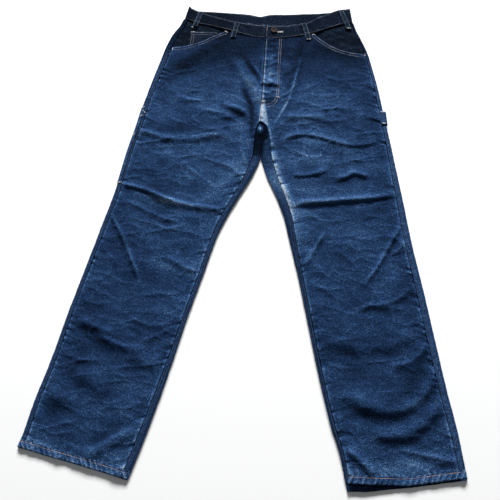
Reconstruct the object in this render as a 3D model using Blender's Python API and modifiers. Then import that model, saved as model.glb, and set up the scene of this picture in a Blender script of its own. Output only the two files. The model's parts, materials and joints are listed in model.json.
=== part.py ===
"""Carpenter jeans laid flat on their back, front side up, legs spread.

X runs across the garment, with the wearer's left leg at +X. Y runs from the hems to the waist and Z is up from
the surface that the jeans lie on. Every height in the tables is a distance up the garment from the line of the
hems, and every outward distance is measured from the middle line towards that leg's own side.
"""

import math

import bmesh
import bpy
import numpy as np

for old in list(bpy.data.objects):
    bpy.data.objects.remove(old, do_unlink=True)

# Cloth and seam sizes
WALL = 0.0014
PATCH_WALL = 0.0012
BAND_WALL = 0.0024
GAP = 0.0003
BAND_GAP = 0.0007
LIFT = PATCH_WALL + GAP
UNDER_FRONT = WALL + 3 * GAP
SEAT_FOLD = 0.0035
SEAT_TURN = 0.0085

# Places along the garment
LOWEST = -0.026
HIGHEST = 1.143
MIDDLE = (LOWEST + HIGHEST) / 2
FORK = 0.797
APEX = 0.697

LEGS = {"right": -1, "left": 1}


def table(names, *rows):
    """The rows' numbers as one array for each named column."""
    return dict(zip(names.split(), np.array(rows, float).T))


# Silhouette and seam of the inner leg, outward from the middle line
INNER = table(
    "height right_edge right_seam left_edge left_seam",
    (-0.026, 0.2180, 0.2320, 0.2180, 0.2245),
    (0.050, 0.1950, 0.2095, 0.2010, 0.2085),
    (0.100, 0.1810, 0.1945, 0.1850, 0.1925),
    (0.200, 0.1560, 0.1670, 0.1570, 0.1655),
    (0.300, 0.1330, 0.1420, 0.1325, 0.1415),
    (0.400, 0.1070, 0.1165, 0.1080, 0.1180),
    (0.500, 0.0810, 0.0920, 0.0810, 0.0955),
    (0.550, 0.0610, 0.0740, 0.0670, 0.0850),
    (0.600, 0.0370, 0.0510, 0.0470, 0.0660),
    (0.650, 0.0120, 0.0290, 0.0220, 0.0460),
    (APEX, -0.0044, 0.0150, 0.0044, 0.0345),
    (0.740, -0.0100, 0.0130, -0.0100, 0.0275),
    (0.775, -0.0100, 0.0095, -0.0100, 0.0180),
    (FORK, -0.0100, 0.0020, -0.0100, -0.0020),
    (0.850, -0.0100, 0.0020, -0.0100, -0.0020),
    (1.050, -0.0100, 0.0020, -0.0100, -0.0020),
)

# Seam where the two backs meet, from where the legs part up to the waist
SEAT_SEAM = table(
    "height across",
    (APEX, 0.0044),
    (0.740, 0.0032),
    (0.775, 0.0012),
    (FORK, 0.0002),
    (0.850, 0.0000),
    (1.110, 0.0000),
)

# Silhouette and seam of the outer leg and hip
OUTER = table(
    "height right_edge right_seam left_edge left_seam",
    (0.022, 0.4545, 0.4420, 0.4535, 0.4405),
    (0.050, 0.4470, 0.4360, 0.4490, 0.4350),
    (0.100, 0.4380, 0.4270, 0.4410, 0.4255),
    (0.200, 0.4155, 0.4045, 0.4190, 0.4025),
    (0.300, 0.3970, 0.3865, 0.3995, 0.3830),
    (0.400, 0.3760, 0.3655, 0.3800, 0.3635),
    (0.500, 0.3550, 0.3440, 0.3590, 0.3430),
    (0.600, 0.3345, 0.3230, 0.3420, 0.3270),
    (0.700, 0.3205, 0.3080, 0.3240, 0.3110),
    (0.760, 0.3095, 0.2960, 0.3130, 0.3020),
    (0.820, 0.3000, 0.2860, 0.3010, 0.2910),
    (0.900, 0.2840, 0.2690, 0.2860, 0.2770),
    (0.980, 0.2660, 0.2490, 0.2670, 0.2590),
    (0.9975, 0.2622, 0.2444, 0.2624, 0.2544),
    (1.040, 0.2495, 0.2310, 0.2470, 0.2390),
    (1.068, 0.2380, 0.2200, 0.2370, 0.2290),
    (1.102, 0.2255, 0.2080, 0.2260, 0.2170),
)

# Height of the front cloth at the inner seam, in the middle of the leg and at the outer seam
TOP = table(
    "height inner middle outer",
    (-0.026, 0.0068, 0.0060, 0.0068),
    (0.300, 0.0065, 0.0052, 0.0065),
    (0.550, 0.0068, 0.0054, 0.0066),
    (0.650, 0.0070, 0.0060, 0.0068),
    (0.720, 0.0076, 0.0066, 0.0071),
    (0.790, 0.0080, 0.0072, 0.0076),
    (0.850, 0.0084, 0.0074, 0.0080),
    (0.950, 0.0086, 0.0076, 0.0082),
    (1.040, 0.0090, 0.0088, 0.0089),
    (1.110, 0.0090, 0.0090, 0.0090),
)

# Height to which the back cloth curls at the two sides of a leg
CURL = table(
    "height inner outer",
    (-0.026, 0.0062, 0.0062),
    (0.600, 0.0062, 0.0065),
    (0.650, 0.0060, 0.0067),
    (APEX, 0.0055, 0.0069),
    (0.757, 0.0056, 0.0073),
    (FORK, LIFT + SEAT_FOLD, 0.0074),
    (0.950, LIFT + SEAT_FOLD, 0.0080),
    (1.040, LIFT + SEAT_FOLD, 0.0087),
    (1.110, LIFT + SEAT_FOLD, 0.0088),
)

# Waistband edges across the whole width
BAND = table(
    "across front_bottom front_top back_top",
    (-0.2185, 1.0910, 1.1310, 1.1310),
    (-0.187, 1.0765, 1.1145, 1.1205),
    (-0.140, 1.0670, 1.0990, 1.1190),
    (-0.095, 1.0560, 1.0870, 1.1175),
    (-0.050, 1.0430, 1.0800, 1.1145),
    (-0.022, 1.0385, 1.0775, 1.1095),
    (0.008, 1.0370, 1.0765, 1.1165),
    (0.050, 1.0410, 1.0785, 1.1190),
    (0.095, 1.0500, 1.0880, 1.1230),
    (0.140, 1.0665, 1.1120, 1.1265),
    (0.187, 1.0895, 1.1325, 1.1340),
    (0.2185, 1.1030, 1.1430, 1.1430),
)
BAND_DEPTH = 0.040
BAND_TOP = 0.0106
BAND_SIDE_LOW = 0.2262
BAND_SIDE_HIGH = 0.2168
BAND_LAP = 0.042
BAND_LAP_STEP = (-0.0044, -0.0075)
BAND_END = -0.0032

# Edge of the scooped front pocket, outward from the middle line
SCOOP = table(
    "height right left",
    (1.0540, 0.1110, 0.1230),
    (1.0400, 0.1370, 0.1395),
    (1.0235, 0.1620, 0.1625),
    (1.0115, 0.1900, 0.1870),
    (1.0040, 0.2120, 0.2120),
    (0.9975, 0.2444, 0.2544),
)

# Largest folds, as ridges (or troughs, with a height below zero) through three points
FOLDS = table(
    "height above below start_x start_y middle_x middle_y end_x end_y",
    (0.0045, 0.009, 0.009, -0.316, 0.742, -0.285, 0.755, -0.225, 0.736),
    (0.0045, 0.009, 0.010, -0.240, 0.737, -0.150, 0.741, -0.045, 0.742),
    (0.0060, 0.011, 0.007, -0.332, 0.612, -0.260, 0.597, -0.180, 0.572),
    (0.0060, 0.007, 0.012, -0.240, 0.587, -0.160, 0.567, -0.055, 0.553),
    (0.0055, 0.011, 0.011, -0.332, 0.532, -0.294, 0.465, -0.254, 0.380),
    (0.0040, 0.009, 0.010, -0.315, 0.247, -0.275, 0.233, -0.212, 0.227),
    (0.0040, 0.008, 0.013, -0.365, 0.281, -0.330, 0.272, -0.290, 0.256),
    (0.0055, 0.009, 0.016, -0.322, 0.018, -0.265, 0.048, -0.204, 0.080),
    (0.0050, 0.014, 0.012, -0.080, 0.965, -0.038, 0.900, -0.014, 0.842),
    (0.0040, 0.010, 0.010, -0.088, 0.833, -0.034, 0.806, -0.012, 0.730),
    (0.0035, 0.010, 0.010, -0.196, 0.438, -0.160, 0.421, -0.118, 0.408),
    (0.0035, 0.010, 0.012, -0.262, 0.300, -0.215, 0.291, -0.150, 0.296),
    (0.0030, 0.010, 0.012, -0.240, 0.862, -0.200, 0.857, -0.150, 0.852),
    (0.0045, 0.012, 0.008, 0.050, 0.806, 0.100, 0.810, 0.160, 0.810),
    (0.0060, 0.012, 0.007, 0.048, 0.743, 0.105, 0.762, 0.188, 0.745),
    (0.0045, 0.012, 0.007, 0.162, 0.751, 0.215, 0.742, 0.288, 0.755),
    (0.0045, 0.014, 0.008, 0.080, 0.655, 0.120, 0.657, 0.168, 0.672),
    (0.0045, 0.013, 0.008, 0.185, 0.646, 0.225, 0.664, 0.270, 0.652),
    (0.0070, 0.013, 0.007, 0.074, 0.571, 0.180, 0.594, 0.330, 0.618),
    (0.0045, 0.010, 0.012, 0.332, 0.535, 0.300, 0.470, 0.250, 0.385),
    (0.0035, 0.010, 0.010, 0.165, 0.530, 0.145, 0.492, 0.120, 0.450),
    (0.0035, 0.010, 0.010, 0.352, 0.406, 0.315, 0.372, 0.228, 0.348),
    (0.0035, 0.013, 0.012, 0.165, 0.305, 0.255, 0.280, 0.362, 0.330),
    (0.0040, 0.011, 0.012, 0.305, 0.232, 0.352, 0.250, 0.388, 0.290),
    (0.0050, 0.018, 0.011, 0.200, 0.170, 0.290, 0.152, 0.398, 0.222),
    (0.0060, 0.012, 0.010, 0.258, 0.106, 0.345, 0.116, 0.405, 0.182),
    (0.0050, 0.012, 0.008, 0.212, 0.056, 0.245, 0.038, 0.278, 0.012),
    (0.0040, 0.009, 0.009, 0.034, 0.780, 0.046, 0.700, 0.080, 0.605),
    (0.0030, 0.010, 0.010, 0.089, 0.995, 0.078, 0.900, 0.044, 0.800),
)
FOLD_STEPS = 16
FOLD_END = 0.22
FOLD_EDGE = 0.09
FOLD_AT_SEAM = 0.25

# Rows of the leg panels, from the outer seam's height to the inner seam's, and the rows up to each
ROWS = table(
    "outer inner steps",
    (0.022, -0.026, 0),
    (0.036, -0.012, 1),
    (0.700, APEX, 29),
    (0.800, FORK, 5),
    (0.895, 0.900, 4),
    (0.9975, 1.0365, 5),
)
LEVEL_ROWS = int(ROWS["steps"][:-1].sum())
FORK_ROW = int(ROWS["steps"][:4].sum())
SEAM_TUCK_FROM = FORK - 0.035
SEAT_TURN_FROM = FORK - 0.010
YOKE_SIDE = {"right": 1.068, "left": 1.071}
YOKE_CENTRE = 1.025
YOKE_TOP_CENTRE = 1.071
FRONT_COLUMNS = 12
CORNER_COLUMN = 5
BACK_FLAT_COLUMNS = 2
YOKE_FLAT_COLUMNS = 8

# Rises of the back cloth over the patches sewn under it
LIFT_START = {"right": 0.572, "left": 0.745}
LIFT_FULL = {"right": 0.600, "left": 0.777}

# Pocket facings, from inside the front panel to the side seam
FACING_INSIDE = 0.012
FACING_UNDER_SCOOP = 0.018
FACING_TO_SEAM = 0.0010

# Coin pocket on the right facing
COIN_NEAR = 0.1320
COIN_FAR = 0.1990
COIN_TOP = 1.0505
COIN_ABOVE_SCOOP = 0.0012

# Tool pocket on the right leg's back
TOOL_BOTTOM = 0.612
TOOL_TOP = 0.820
TOOL_INNER = 0.180
TOOL_ON_TOP = 0.0065

# Hammer loop strap, round the left side and back under the leg
STRAP_SECTION = table(
    "out height",
    (0.2900, 0.0100),
    (0.2995, 0.0100),
    (0.3050, 0.0080),
    (0.3070, 0.0050),
    (0.3050, 0.0016),
    (0.3000, 0.0000),
    (0.2300, 0.0000),
    (0.1600, 0.0000),
)
STRAP_ROWS = table("y out_shift", (0.8000, 0.0016), (0.8175, 0.0000), (0.8350, -0.0016))

# Belt loops on the front, and their fall from the waistband to the panel
LOOP_WIDTH = 0.0130
LOOP_CROWN = 0.0003
LOOP_FALL = (0.004, -0.003, -0.007)
FRONT_LOOPS = table(
    "top_x top_y bottom_x bottom_y",
    (-0.1785, 1.1110, -0.1910, 1.0640),
    (-0.0790, 1.0830, -0.0880, 1.0340),
    (0.0940, 1.0860, 0.1085, 1.0360),
    (0.1900, 1.1300, 0.2110, 1.0745),
)
BACK_LOOPS = (-0.125, 0.0, 0.125)
BACK_LOOP_TAIL = 0.010

# Back pockets, as half widths from the pocket's own middle line at each height
POCKET_MIDDLE = 0.130
POCKET_LEAN = 0.008
BACK_POCKET = table(
    "height half_width",
    (1.008, 0.080),
    (0.925, 0.077),
    (0.868, 0.072),
)
POCKET_POINT = 0.848

# Fly shield, hidden between the two fronts and the back
SHIELD_WALL = 0.0010
SHIELD_TOP = 0.0065
SHIELD = table(
    "height start middle end",
    (0.862, -0.008, 0.012, 0.022),
    (0.890, -0.008, 0.012, 0.034),
    (0.950, -0.008, 0.012, 0.034),
    (1.033, -0.008, 0.012, 0.034),
)

# Tack button on the waistband, as a profile in shares of its radius and height
BUTTON_AT = (0.0175, 1.0605)
BUTTON_RADIUS = 0.0085
BUTTON_HEIGHT = 0.0032
BUTTON_PROFILE = table(
    "out up",
    (0.00, 0.72),
    (0.40, 0.72),
    (0.55, 1.00),
    (0.80, 1.00),
    (1.00, 0.62),
    (0.96, 0.30),
    (0.55, 0.00),
    (0.00, 0.00),
)


def smooth_at(place, values, knots):
    """A smooth curve through the table's points, which never swings past them."""
    if knots[0] > knots[-1]:
        values, knots = values[::-1], knots[::-1]
    place = np.clip(np.asarray(place, float), knots[0], knots[-1])
    rises = np.diff(values) / np.diff(knots)
    product = np.maximum(rises[:-1] * rises[1:], 0)
    total = rises[:-1] + rises[1:]
    inside = 2 * product / np.where(product > 0, total, 1)
    slopes = np.concatenate([rises[:1], inside, rises[-1:]])
    index = np.clip(np.searchsorted(knots, place) - 1, 0, len(knots) - 2)
    span = knots[index + 1] - knots[index]
    t = (place - knots[index]) / span
    rise = t * t * (3 - 2 * t)
    start = t * (1 - t) ** 2 * span * slopes[index]
    end = t * t * (t - 1) * span * slopes[index + 1]
    return values[index] * (1 - rise) + values[index + 1] * rise + start + end


def column(source, name, place, along="height"):
    return smooth_at(place, source[name], source[along])


def ease(value, low, high):
    """0 below low and 1 above high, with soft ends."""
    t = np.clip((np.asarray(value, float) - low) / (high - low), 0, 1)
    return t * t * (3 - 2 * t)


def inner_edge(leg, height):
    """Outward place of the inner silhouette, which the seat seam bounds."""
    seat = LEGS[leg] * column(SEAT_SEAM, "across", height) + GAP / 2
    return np.maximum(column(INNER, leg + "_edge", height), seat)


def lift(leg, height):
    return LIFT * ease(height, LIFT_START[leg], LIFT_FULL[leg])


def scoop_height(leg, out):
    return smooth_at(out, SCOOP["height"], SCOOP[leg])


def fold_relief(x, y):
    """Sum of the ridges at the points, each with its own slope above and below."""
    x, y = np.broadcast_arrays(np.asarray(x, float), np.asarray(y, float))
    relief = np.zeros_like(x)
    t = np.linspace(0, 1, FOLD_STEPS + 1)
    for row in zip(*FOLDS.values()):
        height, above, below = row[:3]
        start, middle, end = np.array(row[3:]).reshape(3, 2)
        pull = 2 * middle - (start + end) / 2
        path = np.outer((1 - t) ** 2, start) + np.outer(2 * t * (1 - t), pull) + np.outer(t * t, end)
        ahead = np.gradient(path, axis=0)
        ahead /= np.linalg.norm(ahead, axis=1)[:, None]
        off_x = x[..., None] - path[:, 0]
        off_y = y[..., None] - path[:, 1]
        near = np.argmin(off_x**2 + off_y**2, axis=-1)
        pick = near[..., None]
        off_x = np.take_along_axis(off_x, pick, -1)[..., 0]
        off_y = np.take_along_axis(off_y, pick, -1)[..., 0]
        along = off_x * ahead[near, 0] + off_y * ahead[near, 1]
        across = off_y * ahead[near, 0] - off_x * ahead[near, 1]
        across *= 1 if end[0] > start[0] else -1
        width = np.where(across > 0, above, below)
        past_end = np.where((near == 0) | (near == FOLD_STEPS), along, 0)
        taper = ease(np.minimum(t[near], 1 - t[near]), -0.02, FOLD_END)
        relief += height * taper * np.exp(-(across / width) ** 2 - (past_end / below) ** 2)
    return relief


def top_height(leg, out, y):
    """Height of the front cloth's outer face above the surface."""
    inner = inner_edge(leg, y)
    outer = column(OUTER, leg + "_edge", y)
    place = np.clip((out - inner) / (outer - inner), 0, 1)
    low = column(TOP, "inner", y)
    middle = column(TOP, "middle", y)
    high = column(TOP, "outer", y)
    bow = 4 * place * (1 - place)
    base = low * (1 - place) + high * place + (middle - (low + high) / 2) * bow
    edge = FOLD_AT_SEAM + (1 - FOLD_AT_SEAM) * ease(np.minimum(place, 1 - place), 0.03, FOLD_EDGE)
    height = base + edge * fold_relief(LEGS[leg] * out, y)
    return np.maximum(height, lift(leg, y) + 2 * WALL + 2 * GAP)


def row_heights():
    """Heights of every panel row at the outer and at the inner side."""
    outer, inner = [ROWS["outer"][0]], [ROWS["inner"][0]]
    for row in range(1, len(ROWS["steps"])):
        steps = int(ROWS["steps"][row])
        for side, name in ((outer, "outer"), (inner, "inner")):
            side += list(np.linspace(*ROWS[name][row - 1 : row + 1], steps + 1)[1:])
    return np.array(outer), np.array(inner)


def row_ends(leg, outer_y, inner_y):
    """Outward places of a row's two silhouette points."""
    return inner_edge(leg, inner_y), column(OUTER, leg + "_edge", outer_y)


def height_along(leg, out, outer_y, inner_y):
    """Height at an outward place on the straight row between its two silhouette points."""
    near, far = row_ends(leg, outer_y, inner_y)
    return inner_y + (out - near) / (far - near) * (outer_y - inner_y)


def seam_place(source, leg, outer_y, inner_y):
    """Where a seam crosses a row, as outward place and height."""
    y = inner_y if source is INNER else outer_y
    for _ in range(4):
        out = column(source, leg + "_seam", y)
        y = height_along(leg, out, outer_y, inner_y)
    return out, y


def front_points(leg):
    """Rows of the front panel's outer face, from the inner seam to the outer seam."""
    side = LEGS[leg]
    outer_y, inner_y = row_heights()
    across = np.linspace(0, 1, FRONT_COLUMNS + 1)
    rows = []
    for high, low in zip(outer_y[: LEVEL_ROWS + 1], inner_y[: LEVEL_ROWS + 1]):
        near = seam_place(INNER, leg, high, low)[0] + GAP / 2
        far = seam_place(OUTER, leg, high, low)[0] - GAP / 2
        out = near + (far - near) * across
        rows.append(np.stack([out, height_along(leg, out, high, low)], axis=1))
    corner = SCOOP[leg][0]
    near = column(INNER, leg + "_seam", inner_y[-1]) + GAP / 2
    far = SCOOP[leg][-1] - GAP / 2
    to_corner = np.linspace(near, corner, CORNER_COLUMN + 1)
    to_side = np.linspace(corner, far, FRONT_COLUMNS - CORNER_COLUMN + 1)[1:]
    under_band = column(BAND, "front_bottom", side * to_corner, "across") - BAND_GAP
    top = np.stack([
        np.concatenate([to_corner, to_side]),
        np.concatenate([under_band, scoop_height(leg, to_side)]),
    ], axis=1)
    top[CORNER_COLUMN, 1] = min(top[CORNER_COLUMN, 1], SCOOP["height"][0])
    last = rows[-1]
    for high in outer_y[LEVEL_ROWS + 1 :]:
        share = (high - outer_y[LEVEL_ROWS]) / (outer_y[-1] - outer_y[LEVEL_ROWS])
        row = last + (top - last) * share
        seam = column(OUTER, leg + "_seam", row[-1, 1]) - GAP / 2
        row[:, 0] += (seam - row[-1, 0]) * across
        rows.append(row)
    rows = np.array(rows)
    out, y = rows[..., 0], rows[..., 1]
    return np.stack([side * out, y, top_height(leg, out, y)], axis=-1)


def curl_points(edge, height, low, toward):
    """Half circle of the cloth round a side, from its top to the surface."""
    radius = (height - low) / 2
    angles = np.radians(np.linspace(90, 270, 5))
    out = edge + toward * (radius + radius * np.cos(angles))
    return list(zip(out, low + radius + radius * np.sin(angles)))


def inner_strip(leg, outer_y, inner_y):
    """Free edge of the back cloth beside the front's inner seam, or the seat seam's turned-in edge above it."""
    seam, y = seam_place(INNER, leg, outer_y, inner_y)
    top = float(top_height(leg, seam, y))
    if inner_y < SEAM_TUCK_FROM:
        return seam - GAP / 2, top
    if inner_y < SEAT_TURN_FROM:
        return seam - GAP / 2, top - WALL - 2 * GAP
    return SEAT_TURN, LIFT + SEAT_FOLD


def back_section(leg, outer_y, inner_y, flat_steps):
    """One row of the back's outer face: top strip, curl, flat underside, curl, top strip."""
    near, far = row_ends(leg, outer_y, inner_y)
    low = float(lift(leg, (outer_y + inner_y) / 2))
    strip_out, strip_top = inner_strip(leg, outer_y, inner_y)
    inner_curl = curl_points(near, float(column(CURL, "inner", inner_y)), low, 1)
    outer_curl = curl_points(far, float(column(CURL, "outer", outer_y)), low, -1)[::-1]
    flat = [(out, low) for out in np.linspace(inner_curl[-1][0], outer_curl[0][0], flat_steps + 1)[1:-1]]
    seam, y = seam_place(OUTER, leg, outer_y, inner_y)
    end = (seam + GAP / 2, float(top_height(leg, seam, y)))
    section = [(strip_out, strip_top), *inner_curl, *flat, *outer_curl, end]
    out, z = np.array(section, float).T
    return np.stack([LEGS[leg] * out, height_along(leg, out, outer_y, inner_y), z], axis=1)


def back_points(leg):
    """Rows of the back panel, from the hem to the yoke."""
    outer_y, inner_y = row_heights()
    top = YOKE_SIDE[leg]
    outer_y = np.append(outer_y, np.linspace(outer_y[-1], top, 4)[1:])
    above = outer_y[FORK_ROW:]
    share = (above - above[0]) / (above[-1] - above[0])
    inner_y = np.append(inner_y[:FORK_ROW], FORK + (YOKE_CENTRE - FORK) * share)
    return np.array([back_section(leg, high, low, BACK_FLAT_COLUMNS) for high, low in zip(outer_y, inner_y)])


def yoke_points(leg):
    """Rows of the yoke, from the back panel to the waistband."""
    side_top = float(column(BAND, "front_bottom", LEGS[leg] * BAND["across"][-1], "across"))
    bottom = back_section(leg, YOKE_SIDE[leg] + GAP, YOKE_CENTRE + GAP, YOKE_FLAT_COLUMNS)
    top = back_section(leg, side_top - GAP, YOKE_TOP_CENTRE + GAP, YOKE_FLAT_COLUMNS)
    front_edge = column(BAND, "front_bottom", top[:, 0], "across")
    back_edge = column(BAND, "back_top", top[:, 0], "across") - BAND_DEPTH
    on_top = ease(top[:, 2], LIFT, BAND_TOP - BAND_WALL) * (abs(top[:, 0]) > BAND_LAP)
    top[:, 1] = back_edge + (front_edge - back_edge) * on_top - BAND_GAP - GAP
    return np.array([bottom, (bottom + top) / 2, top])


def band_points():
    """Bottom, middle and top rows of the waistband, once round from its hidden lap to its buttonhole end."""
    lap_top = BAND_TOP - BAND_WALL - GAP
    lap = [(BAND_LAP, lap_top), (BAND_LAP / 2, lap_top), (BAND_LAP_STEP[0], lap_top)]
    radius = (BAND_TOP - LIFT) / 2
    arc = [(math.cos(a), LIFT + radius + radius * math.sin(a)) for a in np.radians(np.linspace(90, -90, 7))]
    rows = []
    for share in (0, 0.5, 1):
        edge = BAND_SIDE_LOW + (BAND_SIDE_HIGH - BAND_SIDE_LOW) * share
        turn = edge - radius
        row = [(x, "front", z) for x, z in lap]
        row += [(x, "front", BAND_TOP) for x in np.linspace(BAND_LAP_STEP[1], -turn, 10)[:-1]]
        row += [(-turn - radius * c, "turn", z) for c, z in arc]
        row += [(x, "back", LIFT) for x in np.linspace(-turn, turn, 17)[1:-1]]
        row += [(turn + radius * c, "turn", z) for c, z in arc[::-1]]
        row += [(x, "front", BAND_TOP) for x in np.linspace(turn, BAND_END, 10)[1:]]
        points = []
        for x, part, z in row:
            place = math.copysign(BAND["across"][-1], x) if part == "turn" else x
            front_low = column(BAND, "front_bottom", place, "across")
            front_high = column(BAND, "front_top", place, "across")
            back_high = column(BAND, "back_top", place, "across")
            low = back_high - BAND_DEPTH if part == "back" else front_low
            high = back_high if part == "back" else front_high
            points.append((x, low + (high - low) * share, z))
        rows.append(points)
    return np.array(rows, float)


def facing_points(leg):
    """Pocket facing under the scoop, from inside the front panel to the side and up to the waistband."""
    inside = SCOOP[leg][0] - FACING_INSIDE
    low_end = SCOOP[leg][-1] - FACING_TO_SEAM
    high_end = OUTER[leg + "_seam"][-1] - FACING_TO_SEAM
    rows = []
    for share in np.linspace(0, 1, 6):
        row = []
        for across in np.linspace(0, 1, 9):
            low_out = inside + (low_end - inside) * across
            high_out = inside + (high_end - inside) * across
            low = float(scoop_height(leg, low_out)) - FACING_UNDER_SCOOP
            high = float(column(BAND, "front_bottom", LEGS[leg] * high_out, "across")) - BAND_GAP
            y = low + (high - low) * share
            out = low_out + (high_out - low_out) * share
            limit = float(column(OUTER, leg + "_seam", y)) - FACING_TO_SEAM
            row.append((out + (limit - out) * across**4, y))
        rows.append(row)
    rows = np.array(rows)
    out, y = rows[..., 0], rows[..., 1]
    return np.stack([LEGS[leg] * out, y, top_height(leg, out, y) - UNDER_FRONT], axis=-1)


def coin_pocket_points():
    """Small patch on the right facing, down to the scoop's edge."""
    rows = []
    for share in np.linspace(0, 1, 4):
        out = np.linspace(COIN_NEAR, COIN_FAR, 6)
        low = scoop_height("right", out) + COIN_ABOVE_SCOOP
        y = low + (COIN_TOP - low) * share
        rows.append(np.stack([-out, y, top_height("right", out, y) - UNDER_FRONT + LIFT], axis=1))
    return np.array(rows)


def tool_pocket_points():
    """Patch on the right leg's back, whose outer edge wraps round the side to the outer seam."""
    rows = []
    for y in np.linspace(TOOL_BOTTOM, TOOL_TOP, 9):
        low = float(lift("right", y))
        edge = float(column(OUTER, "right_edge", y))
        curl = curl_points(edge, float(column(CURL, "outer", y)), low, -1)
        centre = np.array([edge - (curl[0][1] - low) / 2, (curl[0][1] + low) / 2])
        wrap = [tuple(centre + (np.array(p) - centre) * (1 + LIFT / (centre[1] - low))) for p in curl]
        end = (edge - TOOL_ON_TOP, wrap[0][1] + 0.0010)
        flat = [(out, 0.0) for out in (wrap[-1][0] - 0.030, TOOL_INNER)]
        out, z = np.array([end, *wrap, *flat]).T
        rows.append(np.stack([-out, np.full_like(out, y), z], axis=1))
    return np.array(rows)


def hammer_loop_points():
    """Strap from the left side seam, out round the side and back under the leg."""
    return np.array([
        [(out + shift, y, z) for out, z in zip(*STRAP_SECTION.values())]
        for y, shift in zip(*STRAP_ROWS.values())
    ])


def front_loop_points(top_x, top_y, bottom_x, bottom_y):
    """Belt loop over the waistband, whose lower end lies on the panel."""
    across = (top_x + bottom_x) / 2
    band_low = float(column(BAND, "front_bottom", across, "across"))
    high = BAND_TOP + GAP + PATCH_WALL
    out = abs(bottom_x)
    leg = "right" if bottom_x < 0 else "left"
    low = float(top_height(leg, np.array(out), np.array(bottom_y))) + GAP + PATCH_WALL
    over, past, down = (band_low + fall for fall in LOOP_FALL)
    ends = ((top_y, high), (over, high), (past, high), (down, low + 0.0008), (bottom_y, low + 0.0004))
    rows = []
    for y, z in ends[::-1]:
        share = (top_y - y) / (top_y - bottom_y)
        x = top_x + (bottom_x - top_x) * share
        rows.append([(x - LOOP_WIDTH / 2, y, z), (x, y, z + LOOP_CROWN), (x + LOOP_WIDTH / 2, y, z)])
    return np.array(rows)


collection = bpy.data.collections.new("carpenter_pants")
bpy.context.scene.collection.children.link(collection)


def cloth_material(name, colour):
    material = bpy.data.materials.new(name)
    material.use_nodes = True
    shader = material.node_tree.nodes["Principled BSDF"]
    shader.inputs["Base Color"].default_value = (*colour, 1)
    shader.inputs["Roughness"].default_value = 0.9
    material.diffuse_color = (*colour, 1)
    return material


def add_object(name, mesh, material):
    """An object of the garment, shifted so that the jeans' middle is over the origin."""
    thing = bpy.data.objects.new(name, mesh)
    thing.location.y = -MIDDLE
    mesh.materials.append(material)
    collection.objects.link(thing)
    return thing


def sheet(name, points, wall, colour):
    """A cloth piece whose outer face passes through the rows of points and whose wall lies inside it."""
    cage = bmesh.new()
    rows = [[cage.verts.new(p) for p in row] for row in points]
    for lower, upper in zip(rows[:-1], rows[1:]):
        for a, b, c, d in zip(lower[:-1], lower[1:], upper[1:], upper[:-1]):
            cage.faces.new((a, b, c, d))
    first = points[0]
    highest = int(np.argmax(first[:-1, 2] + first[1:, 2]))
    if first[highest + 1, 0] < first[highest, 0]:
        bmesh.ops.reverse_faces(cage, faces=cage.faces[:])
    mesh = bpy.data.meshes.new(name)
    cage.to_mesh(mesh)
    cage.free()
    mesh.shade_smooth()
    thing = add_object(name, mesh, cloth_material(name, colour))
    solidify = thing.modifiers.new("wall", "SOLIDIFY")
    solidify.thickness = wall
    solidify.offset = -1
    solidify.use_even_offset = True
    return thing


def patch(name, corners, colour):
    """A flat patch on the underside, with its outer face on the surface."""
    curve = bpy.data.curves.new(name, "CURVE")
    curve.dimensions = "2D"
    curve.fill_mode = "BOTH"
    curve.extrude = PATCH_WALL / 2
    spline = curve.splines.new("POLY")
    spline.points.add(len(corners) - 1)
    for point, (x, y) in zip(spline.points, corners):
        point.co = (x, y, PATCH_WALL / 2, 1)
    spline.use_cyclic_u = True
    thing = bpy.data.objects.new(name, curve)
    thing.location.y = -MIDDLE
    curve.materials.append(cloth_material(name, colour))
    collection.objects.link(thing)
    return thing


DENIM = (0.024, 0.052, 0.125)
DARK_DENIM = (0.014, 0.026, 0.058)
BROWN_METAL = (0.060, 0.038, 0.028)

for leg in LEGS:
    sheet(f"front_panel_{leg}", front_points(leg), WALL, DENIM)
    sheet(f"back_panel_{leg}", back_points(leg), WALL, DENIM)
    sheet(f"yoke_{leg}", yoke_points(leg), WALL, DENIM)
    sheet(f"pocket_facing_{leg}", facing_points(leg), WALL, DARK_DENIM)

sheet("waistband", band_points(), BAND_WALL, DARK_DENIM)
sheet("coin_pocket", coin_pocket_points(), PATCH_WALL, DARK_DENIM)
sheet("tool_pocket", tool_pocket_points(), PATCH_WALL, DENIM)
sheet("hammer_loop", hammer_loop_points(), PATCH_WALL, DENIM)

for number, row in enumerate(zip(*FRONT_LOOPS.values()), 1):
    sheet(f"belt_loop_front_{number}", front_loop_points(*row), PATCH_WALL, DARK_DENIM)

for number, x in enumerate(BACK_LOOPS, 1):
    top = float(column(BAND, "back_top", x, "across"))
    bottom = top - BAND_DEPTH - BACK_LOOP_TAIL
    half = LOOP_WIDTH / 2
    corners = ((x - half, bottom), (x + half, bottom), (x + half, top), (x - half, top))
    patch(f"belt_loop_back_{number}", corners, DARK_DENIM)

for leg, side in LEGS.items():
    height, half = BACK_POCKET.values()
    middle = POCKET_MIDDLE + POCKET_LEAN * (height[0] - height) / (height[0] - POCKET_POINT)
    right = list(zip(middle + half, height))
    left = list(zip(middle - half, height))
    corners = [*right, (POCKET_MIDDLE + POCKET_LEAN, POCKET_POINT), *left[::-1]]
    patch(f"back_pocket_{leg}", [(side * x, y) for x, y in corners], DENIM)

shield_rows = [
    [(x, y, SHIELD_TOP) for x in row]
    for y, *row in zip(*SHIELD.values())
]
sheet("fly_shield", np.array(shield_rows), SHIELD_WALL, DARK_DENIM)

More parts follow.
